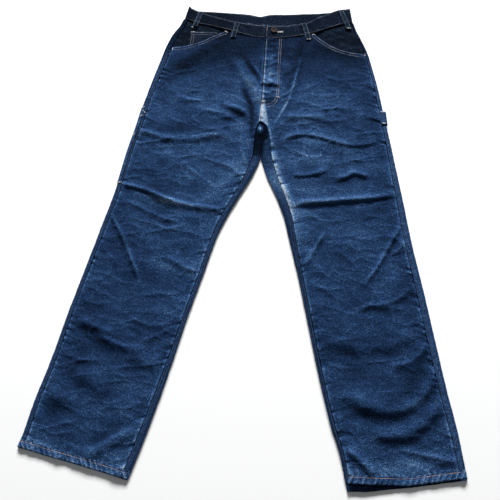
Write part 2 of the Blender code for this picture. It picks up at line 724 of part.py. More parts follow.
button_mesh = bpy.data.meshes.new("button")
profile = list(zip(*BUTTON_PROFILE.values()))
button_mesh.from_pydata(
    [(BUTTON_RADIUS * out, 0, BUTTON_HEIGHT * up) for out, up in profile],
    [(i, i + 1) for i in range(len(profile) - 1)],
    [],
)
button = add_object("button", button_mesh, cloth_material("button", BROWN_METAL))
button.location = (BUTTON_AT[0], BUTTON_AT[1] - MIDDLE, BAND_TOP + GAP)
screw = button.modifiers.new("turn", "SCREW")
screw.steps = screw.render_steps = 20
screw.use_merge_vertices = True
screw.merge_threshold = 0.00005
button_shader = button.active_material.node_tree.nodes["Principled BSDF"]
button_shader.inputs["Metallic"].default_value = 0.8
button_shader.inputs["Roughness"].default_value = 0.45
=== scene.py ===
import json
import math
import bpy
import numpy as np
from mathutils import Matrix, Vector
from mathutils.bvhtree import BVHTree

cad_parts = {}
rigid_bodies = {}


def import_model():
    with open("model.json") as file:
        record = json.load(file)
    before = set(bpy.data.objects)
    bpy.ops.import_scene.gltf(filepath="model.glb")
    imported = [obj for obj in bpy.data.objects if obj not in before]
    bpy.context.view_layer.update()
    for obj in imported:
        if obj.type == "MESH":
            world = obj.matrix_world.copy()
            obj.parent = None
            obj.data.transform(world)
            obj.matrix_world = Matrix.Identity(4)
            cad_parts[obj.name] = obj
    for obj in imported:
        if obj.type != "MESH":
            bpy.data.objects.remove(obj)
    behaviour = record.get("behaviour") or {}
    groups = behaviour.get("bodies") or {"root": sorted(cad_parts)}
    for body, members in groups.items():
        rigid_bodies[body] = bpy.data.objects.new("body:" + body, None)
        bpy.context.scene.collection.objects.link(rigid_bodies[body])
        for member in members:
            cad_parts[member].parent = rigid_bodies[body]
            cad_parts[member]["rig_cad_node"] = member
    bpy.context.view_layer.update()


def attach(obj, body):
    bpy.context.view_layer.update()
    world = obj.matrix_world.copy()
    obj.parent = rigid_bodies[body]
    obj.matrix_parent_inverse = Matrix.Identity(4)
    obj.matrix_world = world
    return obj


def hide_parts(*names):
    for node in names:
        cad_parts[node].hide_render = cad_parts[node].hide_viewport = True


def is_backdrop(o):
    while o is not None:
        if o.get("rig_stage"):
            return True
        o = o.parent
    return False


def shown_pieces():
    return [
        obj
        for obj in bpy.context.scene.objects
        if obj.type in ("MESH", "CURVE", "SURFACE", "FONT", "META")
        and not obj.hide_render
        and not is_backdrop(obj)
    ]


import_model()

# The surface and the light
# A plain pale studio table under soft light. The main light comes low from beyond the waist, so every fold is
# pale on its upper side and dark below. The camera stands over the thighs and leans towards the waist.
scene = bpy.context.scene
scene.view_settings.view_transform = "Standard"


def add_node(tree, kind, links=None, **settings):
    """A node with its properties set, and with values or other nodes' outputs on its inputs."""
    made = tree.nodes.new(kind)
    for name, value in settings.items():
        setattr(made, name, value)
    for name, value in (links or {}).items():
        socket = made.inputs[name]
        if isinstance(value, bpy.types.NodeSocket):
            tree.links.new(value, socket)
        else:
            socket.default_value = value
    return made


def plain_material(name, colour, roughness, **shader_inputs):
    material = bpy.data.materials.new(name)
    material.use_nodes = True
    shader = material.node_tree.nodes["Principled BSDF"]
    shader.inputs["Base Color"].default_value = (*colour, 1)
    shader.inputs["Roughness"].default_value = roughness
    for socket, value in shader_inputs.items():
        shader.inputs[socket.replace("_", " ")].default_value = value
    material.diffuse_color = (*colour, 1)
    return material


FLOOR_HALF = 6.0
FLOOR_DROP = 0.0004
floor_mesh = bpy.data.meshes.new("floor")
corners = [(FLOOR_HALF * x, FLOOR_HALF * y, -FLOOR_DROP) for x, y in ((-1, -1), (1, -1), (1, 1), (-1, 1))]
floor_mesh.from_pydata(corners, [], [(0, 1, 2, 3)])
floor = bpy.data.objects.new("floor", floor_mesh)
floor_mesh.materials.append(plain_material("pale_floor", (0.90, 0.90, 0.90), 0.9))
scene.collection.objects.link(floor)
floor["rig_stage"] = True

world = bpy.data.worlds.new("studio")
scene.world = world
world.use_nodes = True
sky = world.node_tree.nodes["Background"].inputs
sky["Color"].default_value = (0.93, 0.96, 1.0, 1)
sky["Strength"].default_value = 0.13


def area_light(name, place, aim, size, power):
    light = bpy.data.lights.new(name, "AREA")
    light.shape = "RECTANGLE"
    light.size, light.size_y = size
    light.energy = power
    lamp = bpy.data.objects.new(name, light)
    lamp.location = place
    lamp.rotation_euler = (Vector(aim) - Vector(place)).to_track_quat("-Z", "Y").to_euler()
    scene.collection.objects.link(lamp)


area_light("waist_light", (-0.40, 6.20, 2.85), (0, 0, 0), (3.4, 1.6), 1280)
area_light("overhead_light", (0.30, -0.20, 2.60), (0, 0, 0), (2.2, 2.2), 3)

CAMERA_TILT = math.radians(16.0)
CAMERA_ROLL = math.radians(5.898)
CAMERA_TURN = math.radians(9.538)
CAMERA_AT = (0.0424, -0.3774, 1.0087)
CAMERA_LENS = 33.12
tilt_sin, tilt_cos = math.sin(CAMERA_TILT), math.cos(CAMERA_TILT)
roll_sin, roll_cos = math.sin(CAMERA_ROLL), math.cos(CAMERA_ROLL)
camera_axes = Matrix((
    (roll_cos, roll_sin, 0),
    (-roll_sin * tilt_cos, roll_cos * tilt_cos, -tilt_sin),
    (-roll_sin * tilt_sin, roll_cos * tilt_sin, tilt_cos),
))
camera_data = bpy.data.cameras.new("camera")
camera_data.lens = CAMERA_LENS
camera_data.clip_start = 0.05
camera = bpy.data.objects.new("camera", camera_data)
camera.matrix_world = (
    Matrix.Translation(CAMERA_AT) @ Matrix.Rotation(CAMERA_TURN, 4, "Z") @ camera_axes.to_4x4()
)
scene.collection.objects.link(camera)
scene.camera = camera

# Back panels
# The two backs are cut from indigo denim and lie on the table. At each side the cloth turns up and over to
# the top, where a felled seam joins it to the front. Above the fork the edges are turned in at the seat seam.
WALL = 0.0012
GAP = 0.0003
PATCH_WALL = 0.0012
LIFT = PATCH_WALL + GAP
SEAT_FOLD = 0.0035
SEAT_TURN = 0.0085
MIDDLE = 0.5585
FORK = 0.797
APEX = 0.697
FLY_END = 0.848
LEGS = {"right": -1, "left": 1}
LIFT_START = {"right": 0.572, "left": 0.745}
LIFT_FULL = {"right": 0.600, "left": 0.777}
YOKE_SIDE = {"right": 1.068, "left": 1.071}
YOKE_CENTRE = 1.025
FINE = 10
HEM_DEPTH = 0.0164
HEM_WALL = 0.0010
HEM_SLOPE = 0.0035
SEAM_PULL = 0.0004
SEAM_SUNK = {"right": 0.0030, "left": 0.0016}
STRIP_STEPS = 5


def table(names, *rows):
    """The rows' numbers as one array for each named column."""
    return dict(zip(names.split(), np.array(rows, float).T))


# Outward places of each leg's inner side: its silhouette and the seam that shows on top
INNER = table(
    "height right_edge right_seam left_edge left_seam",
    (-0.026, 0.2180, 0.2320, 0.2180, 0.2245),
    (0.050, 0.1950, 0.2095, 0.2010, 0.2085),
    (0.100, 0.1810, 0.1945, 0.1850, 0.1925),
    (0.200, 0.1560, 0.1670, 0.1570, 0.1655),
    (0.300, 0.1330, 0.1420, 0.1325, 0.1415),
    (0.400, 0.1070, 0.1165, 0.1080, 0.1180),
    (0.500, 0.0810, 0.0920, 0.0810, 0.0955),
    (0.550, 0.0610, 0.0740, 0.0670, 0.0850),
    (0.600, 0.0370, 0.0510, 0.0470, 0.0660),
    (0.650, 0.0120, 0.0290, 0.0220, 0.0460),
    (APEX, -0.0044, 0.0150, 0.0044, 0.0310),
    (0.740, -0.0100, 0.0130, -0.0100, 0.0245),
    (0.775, -0.0100, 0.0100, -0.0100, 0.0165),
    (0.788, -0.0100, 0.0060, -0.0100, 0.0095),
    (FORK, -0.0100, 0.0020, -0.0100, -0.0020),
    (0.850, -0.0100, 0.0020, -0.0100, -0.0020),
    (1.050, -0.0100, 0.0020, -0.0100, -0.0020),
)
SEAT_SEAM = table(
    "height across",
    (APEX, 0.0044),
    (0.740, 0.0032),
    (0.775, 0.0012),
    (FORK, 0.0002),
    (0.850, 0.0000),
    (1.110, 0.0000),
)
# The same of each leg's outer side, up to the waistband
OUTER = table(
    "height right_edge right_seam left_edge left_seam",
    (0.022, 0.4545, 0.4420, 0.4535, 0.4405),
    (0.050, 0.4470, 0.4360, 0.4490, 0.4350),
    (0.100, 0.4380, 0.4270, 0.4410, 0.4255),
    (0.200, 0.4155, 0.4045, 0.4190, 0.4025),
    (0.300, 0.3970, 0.3865, 0.3995, 0.3830),
    (0.400, 0.3760, 0.3655, 0.3800, 0.3635),
    (0.500, 0.3550, 0.3440, 0.3590, 0.3430),
    (0.600, 0.3345, 0.3230, 0.3420, 0.3270),
    (0.700, 0.3205, 0.3080, 0.3240, 0.3110),
    (0.760, 0.3095, 0.2960, 0.3130, 0.3020),
    (0.820, 0.3000, 0.2860, 0.3010, 0.2910),
    (0.900, 0.2840, 0.2690, 0.2860, 0.2770),
    (0.980, 0.2660, 0.2490, 0.2670, 0.2590),
    (0.9975, 0.2622, 0.2444, 0.2624, 0.2544),
    (1.040, 0.2480, 0.2310, 0.2460, 0.2388),
    (1.068, 0.2320, 0.2175, 0.2330, 0.2265),
    (1.102, 0.2205, 0.2070, 0.2215, 0.2150),
)
# Height of the smooth cloth above the table, before its folds are added
TOP = table(
    "height inner middle outer",
    (-0.026, 0.0068, 0.0060, 0.0068),
    (0.300, 0.0065, 0.0052, 0.0065),
    (0.550, 0.0068, 0.0054, 0.0066),
    (0.650, 0.0070, 0.0060, 0.0068),
    (0.720, 0.0076, 0.0066, 0.0071),
    (0.790, 0.0080, 0.0072, 0.0076),
    (0.850, 0.0084, 0.0074, 0.0080),
    (0.950, 0.0086, 0.0076, 0.0082),
    (1.040, 0.0090, 0.0088, 0.0089),
    (1.110, 0.0090, 0.0090, 0.0090),
)
# Height of the cloth where it begins to turn down at the sides
CURL = table(
    "height inner outer",
    (-0.026, 0.0062, 0.0062),
    (0.600, 0.0062, 0.0065),
    (0.650, 0.0060, 0.0067),
    (APEX, 0.0046, 0.0069),
    (0.757, 0.0042, 0.0073),
    (FORK, LIFT + SEAT_FOLD, 0.0074),
    (0.950, LIFT + SEAT_FOLD, 0.0080),
    (1.040, LIFT + SEAT_FOLD, 0.0087),
    (1.110, LIFT + SEAT_FOLD, 0.0088),
)
# Rows of the panels: their heights at both sides, and the coarse steps up to each
ROWS = table(
    "outer inner steps",
    (0.022, -0.026, 0),
    (0.036, -0.012, 1),
    (0.700, APEX, 29),
    (0.800, FORK, 5),
    (0.895, 0.900, 4),
    (0.9975, 1.0365, 5),
)
LEVEL_ROWS = FINE * int(ROWS["steps"][:-1].sum())
FORK_ROW = FINE * int(ROWS["steps"][:4].sum())

# Folds and creases in millimetres: height, reach above and below, sharpness, then the points they run through
CREASES = (
    (4.0, 9, 8, 2, -316, 742, -297, 752, -270, 748, -240, 738, -210, 735),
    (4.0, 9, 9, 2, -240, 737, -195, 735, -150, 741, -105, 752, -75, 751, -45, 742),
    (5.2, 9, 5, 2, -340, 614, -300, 605, -260, 596, -215, 579, -178, 571),
    (5.6, 7, 9, 2, -262, 596, -200, 573, -150, 565, -100, 560, -50, 552),
    (2.5, 6, 6, 1.4, -320, 572, -280, 558, -245, 543, -205, 528, -165, 522),
    (4.8, 6, 5, 1.6, -336, 536, -318, 508, -294, 470, -276, 438, -260, 405, -244, 372),
    (3.8, 8, 9, 1.6, -198, 439, -170, 427, -140, 413, -112, 408),
    (5.5, 10, 14, 2, -372, 288, -345, 276, -320, 268, -284, 258),
    (5.0, 9, 13, 2, -330, 254, -290, 242, -262, 234, -205, 230),
    (2.8, 7, 8, 1.4, -265, 296, -235, 288, -205, 282, -160, 288),
    (2.6, 7, 7, 1.4, -236, 238, -205, 256, -178, 270, -150, 286),
    (5.0, 14, 14, 2, -366, 166, -335, 164, -308, 144, -280, 130),
    (4.5, 16, 16, 2, -262, 216, -230, 210, -200, 206, -172, 214),
    (4.0, 16, 14, 2, -410, 132, -385, 122, -360, 116, -340, 120),
    (5.5, 9, 14, 2, -322, 16, -290, 28, -262, 46, -230, 64, -204, 80),
    (6.0, 20, 13, 2, -84, 975, -62, 942, -34, 902, -16, 872, -8, 840),
    (4.0, 10, 9, 2, -90, 834, -60, 824, -34, 806, -14, 776, -12, 730),
    (2.2, 6, 7, 1.4, -224, 856, -200, 850, -165, 846, -140, 848),
    (3.2, 7, 9, 1.6, -100, 840, -78, 832, -55, 826, -34, 812),
    (3.0, 8, 9, 1.6, -160, 816, -130, 818, -95, 812, -58, 805),
    (2.2, 6, 7, 1.4, -155, 769, -130, 768, -100, 766, -84, 768),
    (1.8, 5, 5, 1.2, -152, 694, -110, 682, -60, 664, -28, 640),
    (1.6, 5, 5, 1.2, -186, 676, -150, 650, -100, 616),
    (1.8, 5, 5, 1.2, -50, 731, -38, 700, -26, 668),
    (1.8, 5, 5, 1.2, -56, 656, -40, 646, -26, 640),
    (1.4, 4, 5, 1.2, -290, 702, -240, 694, -200, 700),
    (1.4, 4, 5, 1.2, -320, 664, -280, 652, -230, 656),
    (1.4, 4, 5, 1.2, -240, 524, -200, 505, -150, 500, -110, 488),
    (1.3, 4, 4, 1.2, -345, 470, -330, 440, -300, 415),
    (1.3, 4, 4, 1.2, -360, 398, -320, 388, -280, 372, -240, 376),
    (1.4, 4, 4, 1.2, -230, 360, -190, 350, -150, 358),
    (1.4, 4, 4, 1.2, -380, 336, -340, 322, -300, 326),
    (1.3, 4, 4, 1.2, -392, 214, -350, 200, -310, 196),
    (1.5, 5, 5, 1.2, -290, 180, -250, 172, -200, 180),
    (1.3, 4, 4, 1.2, -400, 120, -350, 98, -310, 92),
    (1.5, 5, 5, 1.2, -270, 112, -240, 108, -205, 122),
    (1.3, 4, 4, 1.2, -420, 66, -380, 52, -340, 60),
    (1.3, 4, 4, 1.2, -128, 545, -120, 500, -105, 455),
    (1.5, 4, 4, 1.2, -255, 905, -215, 925, -170, 935),
    (1.2, 4, 4, 1.2, -235, 820, -215, 790, -180, 778),
    (4.0, 12, 8, 1.8, 50, 806, 80, 808, 115, 811, 160, 810),
    (4.4, 11, 5, 2, 46, 742, 76, 756, 104, 762, 145, 758, 190, 744),
    (3.2, 11, 5, 2, 160, 752, 205, 742, 245, 742, 290, 756),
    (4.6, 12, 5, 2, 78, 656, 110, 655, 140, 662, 170, 676),
    (4.8, 11, 5, 2, 183, 646, 208, 656, 230, 667, 270, 654),
    (5.6, 12, 5, 2, 70, 570, 110, 583, 160, 591, 210, 598, 265, 605, 332, 619),
    (4.4, 6, 5, 1.5, 344, 560, 322, 522, 300, 480, 278, 440, 244, 388),
    (3.4, 6, 5, 1.5, 166, 522, 148, 490, 130, 456, 114, 425),
    (3.0, 7, 7, 1.4, 346, 512, 330, 488, 310, 470),
    (2.6, 6, 6, 1.4, 296, 510, 322, 510, 350, 478),
    (3.2, 8, 8, 1.5, 354, 408, 330, 378, 298, 362, 228, 346),
    (3.5, 8, 10, 1.6, 298, 228, 335, 238, 362, 254, 388, 288),
    (8.0, 22, 15, 2, 190, 168, 225, 160, 262, 145, 300, 142, 342, 154, 376, 188, 402, 236),
    (7.5, 18, 14, 2, 248, 92, 285, 93, 325, 96, 352, 108, 384, 138, 410, 180),
    (3.6, 14, 14, 2, 150, 290, 185, 272, 226, 268, 280, 270, 330, 286, 366, 320),
    (3.5, 7, 9, 1.5, 315, 70, 355, 63, 400, 58, 446, 50),
    (5.0, 11, 8, 2, 210, 58, 234, 44, 256, 26, 276, 12),
    (2.4, 9, 10, 1.6, 22, 790, 32, 740, 42, 690, 56, 645, 76, 600, 96, 552),
    (2.4, 5, 4, 1.4, 90, 996, 84, 950, 74, 900, 61, 850, 40, 796),
    (2.2, 6, 7, 1.4, 215, 806, 222, 790, 245, 782),
    (2.4, 6, 7, 1.4, 255, 820, 275, 816, 296, 812),
    (1.5, 5, 5, 1.2, 110, 880, 150, 872, 190, 880),
    (1.4, 5, 5, 1.2, 150, 930, 190, 920, 240, 925),
    (1.6, 5, 5, 1.2, 70, 720, 120, 705, 160, 712),
    (1.5, 5, 5, 1.2, 200, 712, 240, 700, 290, 708),
    (1.5, 5, 5, 1.2, 120, 560, 160, 545, 210, 548),
    (1.4, 5, 5, 1.2, 240, 570, 290, 560, 330, 572),
    (1.5, 4, 4, 1.2, 180, 480, 215, 460, 240, 430),
    (1.4, 4, 4, 1.2, 130, 395, 170, 385, 210, 392),
    (1.4, 4, 4, 1.2, 300, 330, 340, 318, 380, 330),
    (1.4, 4, 4, 1.2, 160, 235, 200, 220, 250, 224),
    (1.4, 4, 4, 1.2, 410, 130, 425, 100, 436, 70),
    (1.5, 4, 4, 1.2, 215, 100, 235, 86, 252, 66),
    (1.3, 4, 4, 1.2, 120, 460, 112, 420, 126, 380),
    (3.6, 11, 4, 2, -14, 900, 0, 902, 12, 899, 22, 903, 44, 896),
    (2.2, 4, 3, 1.5, -8, 877, 6, 873, 20, 875),
    (2.4, 4, 3, 1.5, 10, 869, 24, 863, 40, 867),
    (2.0, 4, 3, 1.5, -6, 861, 8, 858, 22, 861),
    (1.6, 4, 3, 1.5, 14, 886, 26, 882, 42, 884),
    (1.6, 4, 3, 1.5, -2, 918, 10, 912, 24, 909),
    (1.4, 4, 4, 1.5, 12, 934, 24, 930, 40, 934),
    (2.4, 5, 3, 1.5, -8, 957, 8, 953, 20, 960, 40, 965),
    (1.6, 4, 3, 1.5, -8, 974, 8, 970, 22, 975),
    (1.5, 4, 4, 1.5, 6, 987, 20, 983, 40, 986),
    (1.2, 4, 4, 1.5, -8, 1002, 8, 999, 24, 1004),
    (1.0, 4, 4, 1.5, 4, 1022, 20, 1018, 40, 1024),
    (2.4, 5, 5, 1.6, 40, 862, 56, 872, 72, 888, 88, 912),
    (1.8, 4, 4, 1.5, 42, 850, 60, 858, 84, 860),
    (1.6, 4, 4, 1.5, -90, 868, -62, 858, -40, 842, -22, 826),
    (1.8, 4, 4, 1.5, -96, 806, -66, 796, -44, 784),
)
FOLD_PITCH = 0.004
FOLD_REACH = 2.6
FOLD_END = 0.22
FOLD_EDGE = 0.09
FOLD_AT_SEAM = 0.25


def smooth_at(place, values, knots):
    """A smooth curve through the table's points, which never swings past them."""
    if knots[0] > knots[-1]:
        values, knots = values[::-1], knots[::-1]
    place = np.clip(np.asarray(place, float), knots[0], knots[-1])
    rises = np.diff(values) / np.diff(knots)
    product = np.maximum(rises[:-1] * rises[1:], 0)
    total = rises[:-1] + rises[1:]
    inside = 2 * product / np.where(product > 0, total, 1)
    slopes = np.concatenate([rises[:1], inside, rises[-1:]])
    index = np.clip(np.searchsorted(knots, place) - 1, 0, len(knots) - 2)
    span = knots[index + 1] - knots[index]
    t = (place - knots[index]) / span
    rise = t * t * (3 - 2 * t)
    start = t * (1 - t) ** 2 * span * slopes[index]
    end = t * t * (t - 1) * span * slopes[index + 1]
    return values[index] * (1 - rise) + values[index + 1] * rise + start + end


def column(source, name, place, along="height"):
    return smooth_at(place, source[name], source[along])


def ease(value, low, high):
    """0 below low and 1 above high, with soft ends."""
    t = np.clip((np.asarray(value, float) - low) / (high - low), 0, 1)
    return t * t * (3 - 2 * t)


def bell(distance, reach):
    """1 on a line and 0 well away from it, with a round top."""
    return np.exp(-((distance / reach) ** 2))


def beside(distance, reach):
    """1 on a line and 0 well away from it, with a sharp top."""
    return np.exp(-np.abs(distance) / reach)


WAVE_CELLS = 97
WAVE_START = 500.0


def waves(x, y, size_x, size_y, seed):
    """Soft random waves from -1 to 1, of about the given sizes."""
    lattice = np.random.default_rng(seed).uniform(-1, 1, (WAVE_CELLS, WAVE_CELLS))
    x, y = np.broadcast_arrays(np.asarray(x, float), np.asarray(y, float))
    u, v = x / size_x + WAVE_START, y / size_y + WAVE_START
    i, j = np.floor(u).astype(int), np.floor(v).astype(int)
    s, t = u - i, v - j
    s, t = s * s * (3 - 2 * s), t * t * (3 - 2 * t)

    def between(k):
        here, after = lattice[i % WAVE_CELLS, k % WAVE_CELLS], lattice[(i + 1) % WAVE_CELLS, k % WAVE_CELLS]
        return here * (1 - s) + after * s

    return between(j) * (1 - t) + between(j + 1) * t


def through(points, pitch):
    """Evenly spaced points on a smooth line through the given ones."""
    points = np.asarray(points, float)
    padded = np.vstack([2 * points[0] - points[1], points, 2 * points[-1] - points[-2]])
    line = []
    for a, b, c, d in zip(padded, padded[1:], padded[2:], padded[3:]):
        t = np.linspace(0, 1, max(3, int(np.linalg.norm(c - b) / pitch) + 2))[:, None]
        line.append(0.5 * (
            2 * b + (c - a) * t + (2 * a - 5 * b + 4 * c - d) * t**2 + (3 * b - a - 3 * c + d) * t**3
        ))
    line = np.vstack(line)
    run = np.concatenate([[0], np.cumsum(np.linalg.norm(np.diff(line, axis=0), axis=1))])
    places = np.linspace(0, run[-1], max(2, int(round(run[-1] / pitch)) + 1))
    return np.stack([np.interp(places, run, line[:, k]) for k in range(points.shape[1])], axis=1)


def crease_relief(x, y):
    """Height of all folds and creases at the points."""
    x, y = (np.array(a, float) for a in np.broadcast_arrays(x, y))
    relief = np.zeros(x.shape)
    for height, above, below, sharpness, *points in CREASES:
        path = through(np.array(points, float).reshape(-1, 2) / 1000, FOLD_PITCH)
        reach = FOLD_REACH * max(above, below) / 1000
        near = (x > path[:, 0].min() - reach) & (x < path[:, 0].max() + reach)
        near &= (y > path[:, 1].min() - reach) & (y < path[:, 1].max() + reach)
        if not near.any():
            continue
        ahead = np.gradient(path, axis=0)
        ahead /= np.linalg.norm(ahead, axis=1)[:, None]
        off_x = x[near][:, None] - path[:, 0]
        off_y = y[near][:, None] - path[:, 1]
        nearest = np.argmin(off_x**2 + off_y**2, axis=1)
        pick = np.arange(len(nearest))
        off_x, off_y = off_x[pick, nearest], off_y[pick, nearest]
        along = off_x * ahead[nearest, 0] + off_y * ahead[nearest, 1]
        across = off_y * ahead[nearest, 0] - off_x * ahead[nearest, 1]
        across *= 1 if points[-2] > points[0] else -1
        width = np.where(across > 0, above, below) / 1000
        last = len(path) - 1
        past_end = np.where((nearest == 0) | (nearest == last), along, 0)
        share = nearest / last
        taper = ease(np.minimum(share, 1 - share), -0.02, FOLD_END)
        fold = np.exp(-np.abs(across / width) ** sharpness - (past_end / (below / 1000)) ** 2)
        relief[near] += height / 1000 * taper * fold
    return relief


# Fine creases over all the cloth: height, length, breadth, slant and seed
CRUMPLES = (
    (0.0016, 0.085, 0.030, 0.25, 131),
    (0.0014, 0.050, 0.020, -0.35, 132),
    (0.0010, 0.034, 0.014, 0.10, 133),
    (0.0009, 0.024, 0.030, 0.60, 134),
)
# Soft waves of all the cloth: height, slants, length, breadth and seed
SOFT_WAVES = (
    (0.0011, 0.35, -0.20, 0.070, 0.034, 3),
    (0.0006, -0.30, 0.25, 0.030, 0.016, 4),
    (0.0003, 0.50, 0.00, 0.013, 0.008, 5),
)
SMOOTHER_SEAT = (0.88, 0.98)


def crumple(x, y):
    """Fine crisp creases that wander over all the cloth, mostly across the leg."""
    ridges = np.zeros(np.shape(x))
    for height, long, short, slant, seed in CRUMPLES:
        line = 1 - np.abs(waves(x + 0.4 * slant * y, y - slant * x, long, short, seed))
        ridges += height * line**6 * (0.5 + 0.5 * waves(x, y, 0.09, 0.06, seed + 10))
    return ridges


def inner_edge(leg, height):
    """Outward place of the inner silhouette, which the seat seam bounds."""
    seat = LEGS[leg] * column(SEAT_SEAM, "across", height) + GAP / 2
    return np.maximum(column(INNER, leg + "_edge", height), seat)


# How far the cloth at the leg ends lies from the straight line of the hem
HEM_SHIFT = table(
    "across shift",
    (-0.4600, -0.0046), (-0.4000, -0.0042), (-0.3000, -0.0022), (-0.2100, -0.0018),
    (0.2100, 0.0105), (0.2350, 0.0075), (0.2600, 0.0042), (0.3000, 0.0028), (0.3400, 0.0008),
    (0.4600, -0.0006),
)


def hem_shift(x, y):
    return column(HEM_SHIFT, "shift", x, "across") * ease(0.11 - y, 0, 0.09)


def hem_rise(x):
    """How far the front of the left leg's end lies above its back, near the inner seam."""
    return (0.0028 + 0.0104 * ease(0.350 - x, 0, 0.120)) * (np.asarray(x) > 0)


def lift(leg, height):
    return LIFT * ease(height, LIFT_START[leg], LIFT_FULL[leg])


def top_height(leg, out, y):
    """Height of the front cloth's outer face above the table."""
    out, y = (np.array(a, float) for a in np.broadcast_arrays(out, y))
    inner = inner_edge(leg, y)
    outer = column(OUTER, leg + "_edge", y)
    place = np.clip((out - inner) / (outer - inner), 0, 1)
    low = column(TOP, "inner", y)
    middle = column(TOP, "middle", y)
    high = column(TOP, "outer", y)
    bow = 4 * place * (1 - place)
    base = low * (1 - place) + high * place + (middle - (low + high) / 2) * bow
    from_seam = np.minimum(place + ease(y, FORK, FLY_END), 1 - place)
    edge = FOLD_AT_SEAM + (1 - FOLD_AT_SEAM) * ease(from_seam, 0.03, FOLD_EDGE)
    x = LEGS[leg] * out
    soft = 0
    for rise, slant, lean, long, short, seed in SOFT_WAVES:
        soft = soft + rise * waves(x + slant * y, y + lean * x, long, short, seed)
    smoothed = 1 - 0.5 * ease(y, *SMOOTHER_SEAT)
    height = base + edge * (crease_relief(x, y) + (soft + crumple(x, y)) * smoothed)
    return np.maximum(height, lift(leg, y) + 2 * WALL + 2 * GAP + 0.0004)


def row_heights():
    """Heights of every panel row at the outer and at the inner side."""
    outer, inner = [ROWS["outer"][0]], [ROWS["inner"][0]]
    for row in range(1, len(ROWS["steps"])):
        steps = FINE * int(ROWS["steps"][row])
        for side, name in ((outer, "outer"), (inner, "inner")):
            side += list(np.linspace(*ROWS[name][row - 1 : row + 1], steps + 1)[1:])
    return np.array(outer), np.array(inner)


def height_along(leg, out, outer_y, inner_y):
    """Height at an outward place on the straight row between its two silhouette points."""
    near, far = inner_edge(leg, inner_y), column(OUTER, leg + "_edge", outer_y)
    return inner_y + (out - near) / (far - near) * (outer_y - inner_y)


def seam_place(source, leg, outer_y, inner_y):
    """Where a seam crosses a row, as outward place and height."""
    y = inner_y if source is INNER else outer_y
    for _ in range(4):
        out = column(source, leg + "_seam", y)
        y = height_along(leg, out, outer_y, inner_y)
    return out, y


def puckers(along, seed, pitch=0.0065):
    """Uneven small ripples that a seam pulls into the cloth, from -1 to 1, by distance along the seam."""
    along = np.asarray(along, float)
    small = waves(along, 0 * along, pitch * 0.75, 1, seed)
    return 0.7 * small + 0.5 * waves(along, 0 * along, pitch * 1.9, 1, seed + 1)


CURL_STEPS = 8


def curl_points(edge, height, low, toward):
    """Half circles of the cloth round a side, from its top to the table, one for each row."""
    edge, height, low = (np.array(a, float)[:, None] for a in np.broadcast_arrays(edge, height, low))
    radius = (height - low) / 2
    angles = np.radians(np.linspace(90, 270, CURL_STEPS + 1))
    out = edge + toward * (radius + radius * np.cos(angles))
    return np.stack([out, low + radius + radius * np.sin(angles)], axis=-1)


def straight(start, end, shares, bulge=0.0):
    """Points on straight lines from start to end, one line for each row, raised between the two by bulge."""
    shares = np.asarray(shares)[None, :, None]
    line = start[:, None] + (end - start)[:, None] * shares
    line[..., 1] += bulge * np.sin(np.pi * shares[..., 0])
    return line


def back_rows(leg, outer_y, inner_y, flat_steps, hem=0.0):
    """Rows of the back's outer face: top strip, curl, flat underside, curl, top strip."""
    side = LEGS[leg]
    outer_y, inner_y, hem = (np.array(a, float) for a in np.broadcast_arrays(outer_y, inner_y, hem))
    near = inner_edge(leg, inner_y)
    near = near + SEAM_PULL * puckers(inner_y, 21 + side) * ease(APEX + 0.02 - inner_y, 0, 0.04)
    near = near - 0.00025 * ease(inner_y, APEX + 0.006, APEX + 0.02)
    far = column(OUTER, leg + "_edge", outer_y) + SEAM_PULL * puckers(outer_y, 31 + side)
    near, far = near + hem, far - hem
    low = lift(leg, (outer_y + inner_y) / 2) + hem
    seam, y = seam_place(INNER, leg, outer_y, inner_y)
    tuck = ease(inner_y, FORK - 0.045, FORK - 0.020) * (WALL + 2 * GAP)
    seat = inner_y > FORK - 0.010
    strip_out = np.where(seat, SEAT_TURN, seam - GAP / 2)
    sunk = SEAM_SUNK[leg] * ease(inner_y, APEX - 0.05, APEX + 0.04)
    joined_top = top_height(leg, seam, y) - hem - np.maximum(tuck, sunk) - GAP
    strip_top = np.where(seat, LIFT + SEAT_FOLD, joined_top)
    inner_curl = curl_points(near, column(CURL, "inner", inner_y) - hem, low, 1)
    outer_curl = curl_points(far, column(CURL, "outer", outer_y) - hem, low, -1)[:, ::-1]
    flat = straight(inner_curl[:, -1], outer_curl[:, 0], np.linspace(0, 1, flat_steps + 1)[1:-1])
    seam, y = seam_place(OUTER, leg, outer_y, inner_y)
    strip_end = np.stack([seam + GAP / 2, top_height(leg, seam, y) - hem], axis=-1)
    ripple = 0.0006 + 0.0006 * puckers(outer_y, 41 + side)
    inner_ripple = 0.0005 + 0.0006 * puckers(inner_y, 51 + side) * ease(FORK - 0.02 - inner_y, 0, 0.02)
    shares = np.linspace(0, 1, STRIP_STEPS + 1)
    strip_start = np.stack([strip_out, strip_top], axis=-1)
    inner_strip = straight(strip_start, inner_curl[:, 0], shares[:-1], inner_ripple[:, None])
    outer_strip = straight(outer_curl[:, -1], strip_end, shares[1:], ripple[:, None])
    section = np.concatenate([inner_strip, inner_curl, flat, outer_curl, outer_strip], axis=1)
    out, z = section[..., 0], section[..., 1]
    return np.stack([side * out, height_along(leg, out, outer_y[:, None], inner_y[:, None]), z], axis=-1)


